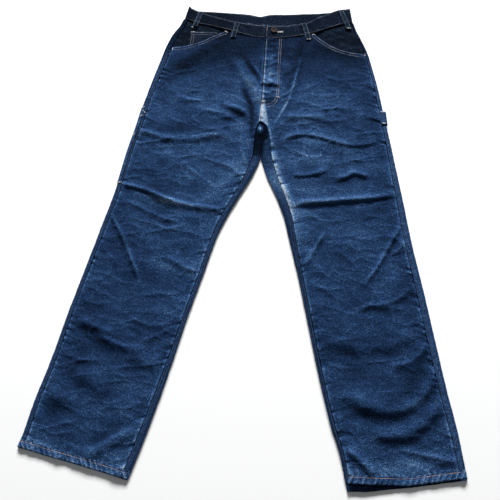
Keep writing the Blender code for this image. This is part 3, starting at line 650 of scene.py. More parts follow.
def back_points(leg):
    """Rows of the back panel, from the hem to the yoke."""
    outer_y, inner_y = row_heights()
    outer_y = np.append(outer_y, np.linspace(outer_y[-1], YOKE_SIDE[leg], 3 * FINE + 1)[1:])
    above = outer_y[FORK_ROW:]
    share = (above - above[0]) / (above[-1] - above[0])
    inner_y = np.append(inner_y[:FORK_ROW], FORK + (YOKE_CENTRE - FORK) * share)
    hem = HEM_WALL * ease(HEM_DEPTH - (inner_y - inner_y[0]), 0, HEM_SLOPE)
    return back_rows(leg, outer_y, inner_y, 10, hem)


def lengths(vectors):
    return np.linalg.norm(vectors, axis=-1)


def grid_normals(points):
    normals = np.cross(np.gradient(points, axis=1), np.gradient(points, axis=0))
    return normals / np.maximum(lengths(normals), 1e-12)[..., None]


def grid_loop(rows, columns):
    """Indices of a grid's border, once round."""
    index = np.arange(rows * columns).reshape(rows, columns)
    return np.concatenate([index[0, :-1], index[:-1, -1], index[-1, :0:-1], index[:0:-1, 0]])


CLOTH_END = "_cloth"
EDGE_ROUND = 0.35
EDGE_WEAR = 0.06


def shell_mesh(name, points, wall, wear):
    """Both faces of the cloth and a rounded rim between them, with the cloth's own lengths, and its worn
    places with painted shade and painted highlights.
    """
    rows, columns = points.shape[:2]
    inner = points - grid_normals(points) * wall
    outward = np.zeros_like(points)
    outward[0] += points[0] - points[1]
    outward[-1] += points[-1] - points[-2]
    outward[:, 0] += points[:, 0] - points[:, 1]
    outward[:, -1] += points[:, -1] - points[:, -2]
    outward /= np.maximum(lengths(outward), 1e-12)[..., None]
    loop = grid_loop(rows, columns)
    rim = ((points + inner) / 2 + outward * wall * EDGE_ROUND).reshape(-1, 3)[loop]
    count = rows * columns
    vertices = np.vstack([points.reshape(-1, 3), inner.reshape(-1, 3), rim])
    index = np.arange(count).reshape(rows, columns)
    quads = np.stack([index[:-1, :-1], index[:-1, 1:], index[1:, 1:], index[1:, :-1]], axis=-1)
    quads = quads.reshape(-1, 4)
    after = np.roll(loop, -1)
    edge = 2 * count + np.arange(len(loop))
    edge_after = np.roll(edge, -1)
    faces = np.vstack([
        quads,
        quads[:, ::-1] + count,
        np.stack([after, loop, edge, edge_after], axis=1),
        np.stack([edge_after, edge, loop + count, after + count], axis=1),
    ])
    mesh = bpy.data.meshes.new(name)
    mesh.from_pydata(vertices.tolist(), [], faces.tolist())
    mesh.shade_smooth()
    run_across = np.cumsum(lengths(np.diff(points, axis=1, prepend=points[:, :1])), axis=1)
    run_along = np.cumsum(lengths(np.diff(points, axis=0, prepend=points[:1])), axis=0)
    run_across -= run_across[:, columns // 2][:, None]
    weave = np.stack([run_across, run_along, np.zeros((rows, columns))], axis=-1).reshape(-1, 3)
    worn = np.broadcast_to(np.asarray(wear, float), (rows, columns)).reshape(-1)
    store = mesh.attributes.new("weave", "FLOAT_VECTOR", "POINT")
    store.data.foreach_set("vector", np.vstack([weave, weave, weave[loop]]).ravel())
    # The cloth's tone: its real worn places and, in places, painted shade and painted highlights.
    store = mesh.attributes.new("wear", "FLOAT", "POINT")
    store.data.foreach_set("value", np.concatenate([worn, worn, worn[loop] + EDGE_WEAR]))
    return mesh


def cloth(name, points, wall, material, wear, *rests_on, under=False):
    """A thin cloth shell with rounded edges. Its outer face, turned down if under, runs through the points.

    A name that ends in _cloth begins with the name of the solid that the shell stands for.
    """
    points = np.array(points, float)
    points[..., 1] += hem_shift(points[..., 0], points[..., 1]) - MIDDLE
    first = points[0]
    highest = int(np.argmax(first[:-1, 2] + first[1:, 2]))
    if (first[highest + 1, 0] < first[highest, 0]) != under:
        points = points[:, ::-1]
        wear = np.asarray(wear)[:, ::-1] if np.ndim(wear) else wear
    mesh = shell_mesh(name, points, wall, wear)
    mesh.materials.append(material)
    piece = bpy.data.objects.new(name, mesh)
    scene.collection.objects.link(piece)
    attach(piece, "root")
    if name.endswith(CLOTH_END):
        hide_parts(name.removesuffix(CLOTH_END))
    size = tuple(float(lengths(np.diff(points, axis=way)).sum(way).max()) for way in (1, 0))


def blurred(values, reach):
    """Local mean of a grid over a square of cells."""
    padded = np.pad(values, reach, mode="edge")
    total = np.pad(padded.cumsum(0).cumsum(1), ((1, 0), (1, 0)))
    size = 2 * reach + 1
    sums = total[size:, size:] - total[:-size, size:] - total[size:, :-size] + total[:-size, :-size]
    return sums / size**2


def two_tone(tree, value, low, low_colour, high, high_colour):
    """A colour ramp from one colour to another, between two values."""
    ramp = add_node(tree, "ShaderNodeValToRGB", {"Fac": value})
    for end, position, colour in zip(ramp.color_ramp.elements, (low, high), (low_colour, high_colour)):
        end.position = position
        end.color = (*colour, 1)
    tree.links.new(ramp.outputs["Color"], tree.nodes["Principled BSDF"].inputs["Base Color"])
    return ramp.color_ramp.elements


THREADS_MEAN = 1.095
WARP_TURN = math.radians(27)
BARE_YARN = (0.42, 0.50, 0.58)


def denim(name, unfaded, faded, worn):
    """Indigo twill: pale and dark threads, slubs along the warp, and the worn places, painted shade and
    painted highlights that the cloth carries.
    """
    material = plain_material(name, faded, 0.88, Specular_IOR_Level=0.01)
    tree = material.node_tree
    weave = add_node(tree, "ShaderNodeAttribute", attribute_name="weave").outputs["Vector"]
    wear = add_node(tree, "ShaderNodeAttribute", attribute_name="wear").outputs["Fac"]

    def mapped(**values):
        return add_node(tree, "ShaderNodeMapping", {"Vector": weave, **values}).outputs["Vector"]

    def noise(place, **values):
        return add_node(tree, "ShaderNodeTexNoise", {"Vector": place, **values}).outputs["Fac"]

    def total(first, *parts):
        for value, weight in parts:
            terms = {0: value, 1: weight, 2: first}
            first = add_node(tree, "ShaderNodeMath", terms, operation="MULTIPLY_ADD").outputs[0]
        return first

    slubs = noise(mapped(Scale=(900, 90, 1)), Scale=1.0, Detail=2)
    grain = noise(mapped(Scale=(640, 400, 1)), Scale=1.0, Detail=1)
    mottle = noise(weave, Scale=190, Detail=3, Roughness=0.55)
    clouds = noise(weave, Scale=26, Detail=3)
    twill = add_node(tree, "ShaderNodeTexWave", {
        "Vector": mapped(Rotation=(0, 0, WARP_TURN)), "Scale": 300, "Distortion": 1.5, "Detail": 1,
        "Detail Scale": 2,
    }).outputs["Fac"]
    shade = total(wear, (slubs, 0.26), (grain, 1.15), (mottle, 0.50), (clouds, 0.14), (twill, 0.14))
    centred = add_node(tree, "ShaderNodeMath", {0: shade, 1: THREADS_MEAN}, operation="SUBTRACT").outputs[0]
    tones = two_tone(tree, centred, 0.16, unfaded, 0.50, faded)
    # The stop at 0, a quarter of the unfaded colour, is painted deep shade, for the fork's gap and the
    # deepest hollows.
    for position, colour in ((0.0, [part * 0.25 for part in unfaded]), (0.78, worn), (1.0, BARE_YARN)):
        tones.new(position).color = (*colour, 1)
    fibres = total(twill, (slubs, 0.8), (mottle, 1.2))
    bump = add_node(tree, "ShaderNodeBump", {"Strength": 0.5, "Distance": 0.00035, "Height": fibres})
    rumple = noise(weave, Scale=85, Detail=4, Roughness=0.55)
    soft_bump = add_node(tree, "ShaderNodeBump", {
        "Strength": 0.5, "Distance": 0.0010, "Height": rumple, "Normal": bump.outputs["Normal"],
    })
    tree.links.new(soft_bump.outputs["Normal"], tree.nodes["Principled BSDF"].inputs["Normal"])
    return material


UNFADED = (0.0050, 0.0128, 0.0330)
FADED = (0.0160, 0.0420, 0.1130)
WORN = (0.0720, 0.1650, 0.3300)
leg_denim = denim("leg_denim", UNFADED, FADED, WORN)


def wear_and_shade_by_relief(heights, reach, scale, amount):
    """Paler on crests, where the cloth is worn, and darker in hollows, which is painted shade."""
    return amount * np.tanh((heights - blurred(heights, reach)) / scale)


def spot(x, y, middle_x, middle_y, reach_x, reach_y):
    """1 at a place and 0 well away from it."""
    return np.exp(-((x - middle_x) / reach_x) ** 2 - ((y - middle_y) / reach_y) ** 2)


# The knob of cloth where the seams meet below the fly: its form, and its two pale spots of painted highlight
KNOB = (0.001, 0.768, 0.008, 0.013)
KNOB_RISE = 0.0035
KNOB_HIGHLIGHTS = ((0.85, -0.001, 0.776, 0.0078, 0.0100), (0.40, 0.003, 0.766, 0.0040, 0.0080))
ABOVE_TABLE = 0.004

for leg in LEGS:
    points = back_points(leg)
    x, y, z = np.moveaxis(points, -1, 0)
    on_top = z > ABOVE_TABLE
    wear = 0.44 + (wear_and_shade_by_relief(z, 2, 0.0006, 0.12) - 0.10) * on_top
    z += KNOB_RISE * spot(x, y, *KNOB) * on_top
    # Painted shade: the back cloth seen in the fork's gap is darkened, and so is the opening round the knob.
    shaded = ease(y, 0.685, 0.720) * ease(0.045 - np.abs(x), 0, 0.02)
    wear -= 0.45 * shaded * ease(0.012 - x, 0, 0.006)
    inside = ease(y, 0.738, 0.752) * ease(0.022 - np.abs(x), 0, 0.004) * ease(FORK - y, 0, 0.004)
    wear -= 0.40 * inside * ease(x, 0.004, 0.010)
    # Painted highlights: two pale spots on the knob.
    for amount, *place in KNOB_HIGHLIGHTS:
        wear += amount * spot(x, y, *place) * on_top
    rim = x - 0.0165 - 0.09 * (0.765 - y)
    wear += 0.24 * bell(rim, 0.0014) * ease(y, 0.690, 0.715) * ease(0.770 - y, 0, 0.010)
    wear -= 0.28 * ease(y, 0.94, 1.02)
    if leg == "left":
        near = x < (inner_edge(leg, y) + column(OUTER, "left_edge", y)) / 2
        wear += np.where(near, -0.10, 0.09) * on_top
        wear += 0.34 * near * on_top * bell(y - 0.635, 0.045)
    cloth(f"back_panel_{leg}_cloth", points, WALL, leg_denim, wear, "floor")

# Front panels
# Each front is one piece of the same denim, from the hem to the waist, with a scooped pocket edge at the hip.
# Its seams are stitched, which pulls small ripples into the edges, and the left front laps over the right.
SEAM_SHARES = (0, 0.004, 0.010, 0.018)
FRONT_SHARES = np.concatenate([SEAM_SHARES, np.linspace(0.03, 0.97, 86), 1 - np.array(SEAM_SHARES[::-1])])
FRONT_COLUMNS = len(FRONT_SHARES) - 1
CORNER_COLUMN = 38
BEHIND_HEM = 0.0016
INNER_SEED = 61
OUTER_SEED = 71
SCOOP_SEED = 81
HEM_SEED = 93
# How far each stitched edge pulls on the front cloth, and the height of its ripples
SEAM_REACH = 0.012
SEAM_SWELL = 0.0009
SEAM_DIP = 0.0026
SEAM_GROOVE = 0.0008
SCOOP_REACH = 0.009
SCOOP_RIPPLE = 0.0007
BAND_REACH = 0.008
HEM_REACH = 0.008
HEM_RIPPLE = 0.0011
FLY_REACH = 0.006
FLY_RIPPLE = 0.0010
FLY_LAP = 0.0010
FLY_EDGE = -0.0020
FLY_WIDTH = 0.0375
BAND_GAP = 0.0007
# Outward places of the scooped pocket edges
SCOOP = table(
    "height right left",
    (1.0540, 0.1110, 0.1230),
    (1.0400, 0.1370, 0.1395),
    (1.0235, 0.1620, 0.1625),
    (1.0115, 0.1900, 0.1870),
    (1.0040, 0.2120, 0.2120),
    (0.9975, 0.2444, 0.2544),
)
# Heights of the waistband's edges, by place across the waist
BAND = table(
    "across front_bottom front_top back_top",
    (-0.2185, 1.0895, 1.1290, 1.1290),
    (-0.187, 1.0765, 1.1145, 1.1205),
    (-0.140, 1.0670, 1.0990, 1.1190),
    (-0.095, 1.0560, 1.0870, 1.1175),
    (-0.050, 1.0430, 1.0800, 1.1145),
    (-0.022, 1.0385, 1.0775, 1.1095),
    (0.008, 1.0370, 1.0765, 1.1165),
    (0.050, 1.0410, 1.0785, 1.1190),
    (0.095, 1.0500, 1.0880, 1.1230),
    (0.140, 1.0665, 1.1120, 1.1265),
    (0.187, 1.0860, 1.1325, 1.1340),
    (0.2185, 1.0955, 1.1385, 1.1385),
)
# Paler and darker places in millimetres, partly real fades of the dye and partly painted shade and highlights
# along creases, by the fly and in the fork: middle, reach along and across, turn in degrees, amount
FADES_AND_PAINTED_LIGHT = (
    (-215, 935, 70, 22, 42, -0.24), (-110, 1010, 75, 26, 12, -0.08), (-65, 972, 32, 26, 0, -0.06),
    (-150, 880, 110, 55, 0, 0.05), (-42, 897, 55, 12, 121, 0.20), (-30, 938, 45, 6, 123, -0.36),
    (-20, 943, 22, 2, 124, 0.34), (-38, 858, 38, 7, 113, -0.40), (-23, 795, 36, 6, 98, -0.38),
    (-16, 732, 45, 5, 85, -0.24), (-62, 815, 34, 5, -24, -0.30), (-88, 798, 20, 5, 0, -0.15),
    (-52, 776, 20, 12, 0, 0.18), (-100, 742, 48, 8, -4, 0.15), (-38, 702, 40, 10, 96, 0.03),
    (-32, 660, 18, 8, 60, 0.14), (14, 930, 26, 13, 90, 0.34), (14, 893, 17, 4, 0, -0.25),
    (14, 975, 16, 10, 0, 0.20), (12, 880, 14, 7, 0, 0.20), (16, 1016, 22, 14, 0, 0.10),
    (50, 960, 12, 6, 0, 0.14), (60, 932, 34, 7, 42, -0.20), (22, 850, 12, 6, 0, -0.20),
    (-6, 862, 34, 16, 100, 0.08), (-220, 772, 75, 20, -4, -0.14), (-70, 640, 40, 16, 55, 0.10),
    (-170, 690, 120, 60, 0, 0.04), (-290, 640, 45, 14, -12, -0.12), (-230, 545, 95, 14, 12, -0.08),
    (-225, 573, 42, 8, -14, 0.44), (-130, 556, 60, 7, -6, 0.12), (-330, 545, 25, 22, 0, -0.12),
    (-240, 500, 70, 24, 118, 0.12), (-185, 412, 60, 12, -16, 0.16), (-300, 470, 60, 12, 118, -0.06),
    (-105, 490, 60, 20, 105, 0.14), (-180, 510, 50, 14, 0, 0.06), (-150, 530, 40, 10, 0, -0.05),
    (-280, 325, 40, 26, 0, 0.06), (-318, 380, 34, 24, 90, 0.08), (-310, 252, 52, 14, -22, -0.24),
    (-400, 90, 42, 26, 62, -0.16), (-270, 58, 62, 16, 36, -0.14), (-250, 155, 30, 14, 0, 0.16),
    (-207, 60, 60, 11, 76, 0.12), (-320, 152, 40, 15, -20, -0.22), (-175, 215, 40, 16, 60, -0.06),
    (-400, 32, 50, 16, -8, 0.10), (-260, 12, 60, 14, -12, 0.10), (-225, 112, 40, 16, 70, 0.08),
    (-300, 760, 30, 10, -10, 0.08), (190, 1000, 50, 28, -20, -0.20), (275, 785, 40, 20, 90, -0.09),
    (88, 985, 40, 10, 85, -0.12), (78, 915, 66, 3, 78, 0.22), (50, 825, 48, 3, 64, 0.28),
    (150, 850, 100, 40, 0, 0.06), (262, 905, 50, 16, 108, -0.04), (250, 865, 30, 22, 0, -0.16),
    (90, 803, 60, 11, 4, 0.08), (38, 822, 16, 20, 0, 0.09), (25, 745, 50, 4, 98, 0.18),
    (30, 768, 24, 5, 62, -0.12), (36, 680, 60, 12, 102, 0.18), (60, 610, 55, 16, 116, 0.26),
    (90, 566, 42, 20, 15, 0.22), (140, 592, 60, 11, 8, 0.14), (118, 708, 60, 22, 10, 0.08),
    (150, 745, 70, 9, -6, 0.08), (245, 565, 36, 14, 0, -0.14), (200, 680, 50, 22, 0, -0.04),
    (300, 700, 110, 22, 95, -0.10), (118, 485, 48, 20, 125, 0.20), (130, 440, 30, 16, 100, 0.08),
    (300, 395, 52, 20, 36, 0.07), (305, 520, 20, 22, 0, -0.07), (310, 370, 26, 14, 0, -0.08),
    (200, 247, 36, 20, 0, -0.16), (240, 275, 60, 12, 14, -0.14), (368, 235, 70, 18, 66, -0.24),
    (190, 110, 60, 11, 106, -0.06), (310, 102, 52, 16, 24, 0.10), (340, 42, 90, 20, 10, 0.16),
    (235, 12, 26, 10, 0, 0.06), (242, 34, 32, 11, -38, -0.18), (215, 200, 60, 20, 10, -0.06),
    (330, 130, 60, 12, 10, -0.10), (250, 90, 34, 14, 0, -0.14), (235, 165, 50, 10, -12, 0.10),
    (275, 128, 55, 14, -8, -0.14), (385, 175, 50, 12, 62, -0.12), (-190, 992, 60, 12, 25, 0.16),
    (45, 630, 45, 12, 115, 0.16), (-165, 812, 70, 14, 0, -0.08), (-200, 760, 50, 10, 0, -0.08),
    (-180, 672, 60, 14, -8, -0.07), (-225, 560, 36, 8, -14, 0.12), (-190, 608, 50, 12, 8, -0.10),
    (-300, 695, 34, 18, 0, -0.10), (-285, 790, 30, 14, 0, 0.10), (-290, 742, 30, 8, -8, 0.12),
    (-75, 745, 50, 10, 0, 0.08), (-35, 780, 26, 26, 0, 0.10), (-165, 905, 40, 22, 0, -0.08),
    (-270, 865, 24, 40, 0, -0.07), (35, 915, 12, 22, 0, 0.08), (66, 893, 10, 34, -12, -0.12),
    (190, 742, 40, 12, 0, 0.12), (140, 695, 50, 14, 12, 0.12), (240, 730, 24, 30, 0, -0.07),
    (300, 560, 40, 34, 60, -0.08), (280, 850, 20, 20, 0, -0.08), (250, 250, 60, 10, 10, -0.06),
    (310, 155, 26, 12, 0, -0.16), (350, 138, 40, 8, 30, 0.12), (345, 108, 40, 8, 25, -0.12),
    (-310, 372, 30, 16, 0, 0.07), (-250, 85, 40, 14, 0, -0.08), (355, 320, 20, 34, 0, -0.07),
    (-160, 255, 40, 16, 0, 0.08), (290, 548, 24, 16, 0, 0.14), (80, 800, 36, 7, 0, 0.12),
    (-245, 762, 44, 12, 0, -0.10), (-130, 860, 44, 24, 0, 0.05), (175, 1010, 40, 18, -20, -0.08),
    (250, 960, 20, 26, 0, -0.08), (100, 752, 60, 7, 4, 0.10), (215, 715, 30, 16, -30, 0.08),
    (-140, 602, 40, 12, 0, -0.07), (410, 40, 24, 16, 0, -0.12), (-440, 20, 24, 20, 0, -0.12),
    (215, 160, 30, 8, 0, -0.05), (240, 278, 44, 8, 6, -0.07), (245, 225, 34, 18, 0, 0.08),
    (395, 215, 20, 14, 0, -0.10), (-170, 175, 22, 20, 0, -0.07), (8, 975, 14, 22, 0, 0.14),
    (-287, 452, 80, 4, -60, 0.15), (-285, 243, 62, 3, -18, 0.13), (38, 915, 14, 26, 0, 0.16),
    (-10, 852, 24, 16, 0, 0.12), (-75, 628, 70, 18, 40, 0.14), (-28, 700, 26, 34, 0, 0.10),
    (-110, 720, 60, 22, 0, 0.06), (50, 620, 50, 15, 118, 0.16), (75, 705, 36, 30, 0, 0.08),
    (150, 622, 90, 13, 5, 0.10), (-140, 775, 60, 20, 0, -0.08), (-170, 962, 80, 12, 0, -0.08),
    (-90, 562, 50, 10, 0, -0.12), (-335, 535, 34, 26, 0, -0.06), (-355, 365, 28, 44, 0, -0.08),
    (-330, 270, 60, 12, -8, -0.08), (-315, 228, 40, 10, 0, 0.08), (205, 645, 60, 18, 0, -0.10),
    (230, 560, 80, 22, 0, -0.07), (200, 480, 40, 30, 0, -0.05), (345, 430, 18, 44, 10, -0.10),
    (345, 155, 70, 12, 30, 0.16), (195, 855, 28, 24, 0, -0.12), (215, 785, 40, 12, 0, -0.08),
    (135, 925, 40, 26, 0, -0.05), (-240, 55, 40, 40, 0, 0.05), (-300, 90, 60, 24, 10, 0.06),
    (-170, 420, 60, 20, 0, 0.05), (300, 30, 70, 12, 8, 0.06), (270, 650, 40, 18, 0, -0.10),
    (250, 490, 30, 20, 0, -0.06), (-110, 530, 25, 12, 0, -0.10),
)
WEAR_ALONG = table(
    "height wear",
    (-0.03, 0.44), (0.10, 0.40), (0.20, 0.36), (0.32, 0.36), (0.42, 0.39), (0.55, 0.41), (0.70, 0.41),
    (0.82, 0.43), (0.92, 0.35), (1.00, 0.19), (1.05, 0.06), (1.10, 0.02),
)


def scoop_height(leg, out):
    return smooth_at(out, SCOOP["height"], SCOOP[leg])


def fading_and_painted_light(x, y):
    """How faded the cloth is at the points, with painted shade and highlights along some creases, before its
    folds are counted.
    """
    wear = column(WEAR_ALONG, "wear", y)
    for middle_x, middle_y, along, across, turn, amount in FADES_AND_PAINTED_LIGHT:
        cos, sin = math.cos(math.radians(turn)), math.sin(math.radians(turn))
        off_x, off_y = x - middle_x / 1000, y - middle_y / 1000
        u = (off_x * cos + off_y * sin) / (along / 1000)
        v = (off_y * cos - off_x * sin) / (across / 1000)
        wear = wear + amount * np.exp(-(u * u + v * v))
    return wear + 0.09 * waves(x, y, 0.060, 0.045, 8) + 0.05 * waves(x, y, 0.022, 0.016, 9)


def front_rows(leg):
    """Outward places and heights of the front panel's grid, from the inner seam to the outer seam."""
    side = LEGS[leg]
    outer_y, inner_y = row_heights()
    rows = []
    for high, low in zip(outer_y[: LEVEL_ROWS + 1], inner_y[: LEVEL_ROWS + 1]):
        near = seam_place(INNER, leg, high, low)[0] + GAP / 2
        far = seam_place(OUTER, leg, high, low)[0] - GAP / 2
        out = near + (far - near) * FRONT_SHARES
        rows.append(np.stack([out, height_along(leg, out, high, low)], axis=1))
    corner = SCOOP[leg][0]
    near = column(INNER, leg + "_seam", inner_y[-1]) + GAP / 2
    to_corner = np.linspace(near, corner, CORNER_COLUMN + 1)
    to_side = np.linspace(corner, SCOOP[leg][-1] - GAP / 2, FRONT_COLUMNS - CORNER_COLUMN + 1)[1:]
    under_band = column(BAND, "front_bottom", side * to_corner, "across") - BAND_GAP
    under_band = np.minimum(under_band, SCOOP["height"][0] + 1000 * (corner - to_corner))
    top = np.stack([
        np.concatenate([to_corner, to_side]),
        np.concatenate([under_band, scoop_height(leg, to_side)]),
    ], axis=1)
    last = rows[-1]
    for high in outer_y[LEVEL_ROWS + 1 :]:
        share = (high - outer_y[LEVEL_ROWS]) / (outer_y[-1] - outer_y[LEVEL_ROWS])
        row = last + (top - last) * share
        seam = column(OUTER, leg + "_seam", row[-1, 1]) - GAP / 2
        row[:, 0] += (seam - row[-1, 0]) * FRONT_SHARES
        rows.append(row)
    rows = np.array(rows)
    return rows[..., 0], rows[..., 1]


def hem_height(leg, out):
    """Height of the leg's lower end at an outward place."""
    return height_along(leg, out, ROWS["outer"][0], ROWS["inner"][0])


def leg_seams(leg, out, y, least):
    """For both seams of a leg: the distance from it, and where its stitches pull the cloth down."""
    side = LEGS[leg]
    for source, seed in ((INNER, INNER_SEED), (OUTER, OUTER_SEED)):
        away = np.abs(out - column(source, leg + "_seam", y))
        yield away, ease(puckers(y - 0.3 * side * away, seed + side, 0.0090), least, 0.75)


def hem_puckers(leg, out, y):
    """The distance above the hem's fold, and the slanting ripples that the hem pulls into the cloth."""
    above = y - hem_height(leg, out) - HEM_DEPTH - hem_rise(LEGS[leg] * out)
    return above, puckers(out + 0.4 * above, HEM_SEED + LEGS[leg], 0.0080)


def front_height(leg, out, y):
    """Top of the front with its seam ripples and fly."""
    side = LEGS[leg]
    x = side * out
    z = top_height(leg, out, y)
    present = ease(FORK - 0.01 - y, 0, 0.03), 1.0
    for amount, (away, pulled) in zip(present, leg_seams(leg, out, y, 0.05)):
        z += amount * beside(away, SEAM_REACH) * (SEAM_SWELL - SEAM_DIP * pulled)
        z -= amount * SEAM_GROOVE * bell(away, 0.0010)
    below_scoop = np.where(out > SCOOP[leg][0], scoop_height(leg, out) - y, 1.0)
    scoop_ripples = 0.0005 + SCOOP_RIPPLE * puckers(out, SCOOP_SEED + side)
    z += beside(np.maximum(below_scoop, 0), SCOOP_REACH) * scoop_ripples
    below_band = column(BAND, "front_bottom", x, "across") - y
    z += beside(np.maximum(below_band, 0), BAND_REACH) * 0.0006 * puckers(x, 91)
    above_hem, hem_ripples = hem_puckers(leg, out, y)
    z += beside(above_hem, HEM_REACH) * HEM_RIPPLE * hem_ripples
    stitched = beside(x - FLY_WIDTH + 0.002, FLY_REACH) * ease(y, FLY_END - 0.02, FLY_END)
    z += stitched * FLY_RIPPLE * puckers(y, 95, 0.0085)
    above_fork = ease(y, FLY_END - 0.006, FLY_END + 0.004)
    if leg == "left":
        z += above_fork * FLY_LAP * ease(FLY_WIDTH + 0.001 - x, 0, 0.004)
        z += above_fork * beside(x - FLY_EDGE, 0.004) * 0.0006 * puckers(y, 97)
    else:
        z -= above_fork * 0.0008 * ease(0.010 - out, 0, 0.009)
    centre_seam = (1 - above_fork) * ease(y, FORK - 0.012, FORK + 0.006)
    z -= centre_seam * 0.0012 * beside(x + 0.002, 0.003)
    z += centre_seam * 0.0007 * puckers(y, 99) * beside(x, 0.014)
    return z


# The worn strip between the fly's end and the fork: where it begins and ends, its middle and its half width
STRIP_ENDS = (0.782, 0.858)
STRIP_MIDDLE = table("height across", (0.790, 0.0080), (0.800, 0.0055), (0.835, 0.0030), (0.852, 0.0022))
STRIP_HALF = table("height across", (0.788, 0.0115), (0.800, 0.0095), (0.835, 0.0060), (0.852, 0.0045))


def fork_wear(leg, x, y):
    """Pale worn places of the fly and of the strip below it."""
    middle = np.interp(y, STRIP_MIDDLE["height"], STRIP_MIDDLE["across"])
    half = np.interp(y, STRIP_HALF["height"], STRIP_HALF["across"])
    strip = ease(half + 0.002 - np.abs(x - middle), 0, 0.004)
    strip = strip * ease(y, STRIP_ENDS[0], 0.790) * ease(STRIP_ENDS[1] - y, 0, 0.01)
    yield 0.44 * strip * (0.80 + 0.45 * waves(x, y, 0.004, 0.006, 14))
    on_fly = ease(x, -0.002, 0.002) * ease(0.034 - x, 0, 0.003) * ease(y, 0.852, 0.860)
    yield 0.12 * waves(x, y, 0.007, 0.005, 12) * on_fly
    yield 0.30 * bell(x + 0.0004, 0.0020) * ease(y, 0.800, 0.850) * (leg == "left")


for leg, side in LEGS.items():
    out, y = front_rows(leg)
    heights = front_height(leg, out, y)
    x = side * out
    hem = HEM_WALL * ease(HEM_DEPTH + hem_rise(x) - (y - y[0]), 0, HEM_SLOPE)
    behind = ease(hem_rise(x) - (y - y[0]) + 0.003, 0, 0.004)
    hem += BEHIND_HEM * behind
    wear = fading_and_painted_light(x, y)
    for reach, scale, amount in ((4, 0.0012, 0.07), (1, 0.00016, 0.04)):
        wear += wear_and_shade_by_relief(heights, reach, scale, amount)
    for more in fork_wear(leg, x, y):
        wear += more
    # Painted shade: the strip of front cloth that lies behind the hem's edge is darkened.
    wear -= 0.60 * behind
    rim = np.minimum(np.abs(out - out[:, :1]), np.abs(out - out[:, -1:]))
    wear += 0.14 * bell(rim - 0.0035, 0.0020) - 0.30 * bell(rim, 0.0010)
    below_scoop = np.where(out > SCOOP[leg][0] - 0.004, np.abs(scoop_height(leg, out) - y), 1.0)
    wear += (0.24 + 0.10 * puckers(out, SCOOP_SEED + 2 + side)) * beside(below_scoop, 0.0075)
    for seam_end, (away, pulled) in zip((FORK - 0.02, 1.2), leg_seams(leg, out, y, 0.15)):
        wear += (0.05 - 0.24 * pulled) * beside(away, 0.010) * ease(seam_end - y, 0, 0.03)
    above_hem, hem_ripples = hem_puckers(leg, out, y)
    wear += (0.13 + 0.10 * hem_ripples) * beside(above_hem, 0.0060)
    points = np.stack([x, y, heights - hem], axis=-1)
    cloth(f"front_panel_{leg}_cloth", points, WALL, leg_denim, wear, f"back_panel_{leg}_cloth")

# Hems
# The end of each leg is folded up twice and stitched all round, which ropes the fold into slanting ripples.
# It is the same denim, three layers thick, worn pale along the ripples and dark between them.
HEM_STITCH = 0.0134
HEM_FOLD = 0.0021
ROPE_PITCH = 0.0115
hem_denim = denim("hem_denim", UNFADED, FADED, WORN)
for leg, side in LEGS.items():
    outer_y, inner_y = row_heights()
    outer_y, inner_y = outer_y[: FINE + 2], inner_y[: FINE + 2]
    back = back_rows(leg, outer_y, inner_y, 40)
    near = side * back[:, :1, 0] + GAP
    far = side * back[:, -1:, 0] - GAP
    out = far + (near - far) * np.linspace(0, 1, 100)
    y = height_along(leg, out, outer_y[:, None], inner_y[:, None])
    y = y + hem_rise(side * out)
    front = np.stack([side * out, y, top_height(leg, out, y)], axis=-1)
    back[..., 1] += hem_rise(back[..., 0]) * ease(back[..., 2], 0.001, 0.005)
    points = np.concatenate([back, front], axis=1)
    x, y, z = np.moveaxis(points, -1, 0)
    up = y - y[:1]
    around = x * side - 0.5 * up
    rope = np.sin(2 * np.pi * around / ROPE_PITCH + 2.2 * waves(around, 0 * around, 0.030, 1, 111 + side))
    rope = 0.55 * rope + 0.60 * puckers(around, 113 + side, 0.0060)
    on_top = ease(z, 0.003, 0.005)
    z += on_top * (0.0013 * rope + 0.0004) * np.sin(np.pi * np.clip(up / HEM_DEPTH, 0, 1)) ** 0.5
    z -= on_top * 0.0009 * bell(up - HEM_STITCH, 0.0016)
    z -= on_top * 0.0022 * np.clip(1 - up / 0.0036, 0, 1) ** 2
    wear = 0.54 - 0.12 * bell(x - 0.295, 0.06) + 0.20 * rope
    wear = wear + 0.12 * bell(up - 0.0035, 0.002) - 0.18 * bell(up - HEM_STITCH, 0.0014)
    cloth(f"hem_{leg}", points, HEM_FOLD, hem_denim, wear, f"back_panel_{leg}_cloth")

# Yokes
# Above the backs, a shaped yoke of the same denim fits the seat to the waist. At the sides it comes over to
# the front, where the end of its seam shows below the waistband.
BAND_DEPTH = 0.040
BAND_TOP = 0.0106
BAND_WALL = 0.0022
BAND_LAP = 0.042
YOKE_TOP_CENTRE = 1.071


def yoke_points(leg):
    """Rows of the yoke, from the back panel to the waistband."""
    side_top = float(column(BAND, "front_bottom", LEGS[leg] * BAND["across"][-1], "across"))
    ends = (YOKE_SIDE[leg] + GAP, side_top - GAP), (YOKE_CENTRE + GAP, YOKE_TOP_CENTRE + GAP)
    bottom, top = back_rows(leg, *ends, 24)
    front_edge = column(BAND, "front_bottom", top[:, 0], "across")
    back_edge = column(BAND, "back_top", top[:, 0], "across") - BAND_DEPTH
    on_top = ease(top[:, 2], LIFT, BAND_TOP - BAND_WALL) * (abs(top[:, 0]) > BAND_LAP)
    top[:, 1] = back_edge + (front_edge - back_edge) * on_top - BAND_GAP - GAP
    rows = bottom + (top - bottom) * np.linspace(0, 1, 15)[:, None, None]
    x, y, z = np.moveaxis(rows, -1, 0)
    z += ease(z, 0.006, 0.008) * 0.0005 * waves(x, y, 0.006, 0.006, 15)
    return rows


for leg in LEGS:
    cloth(f"yoke_{leg}_cloth", yoke_points(leg), WALL, leg_denim, 0.04, "floor")

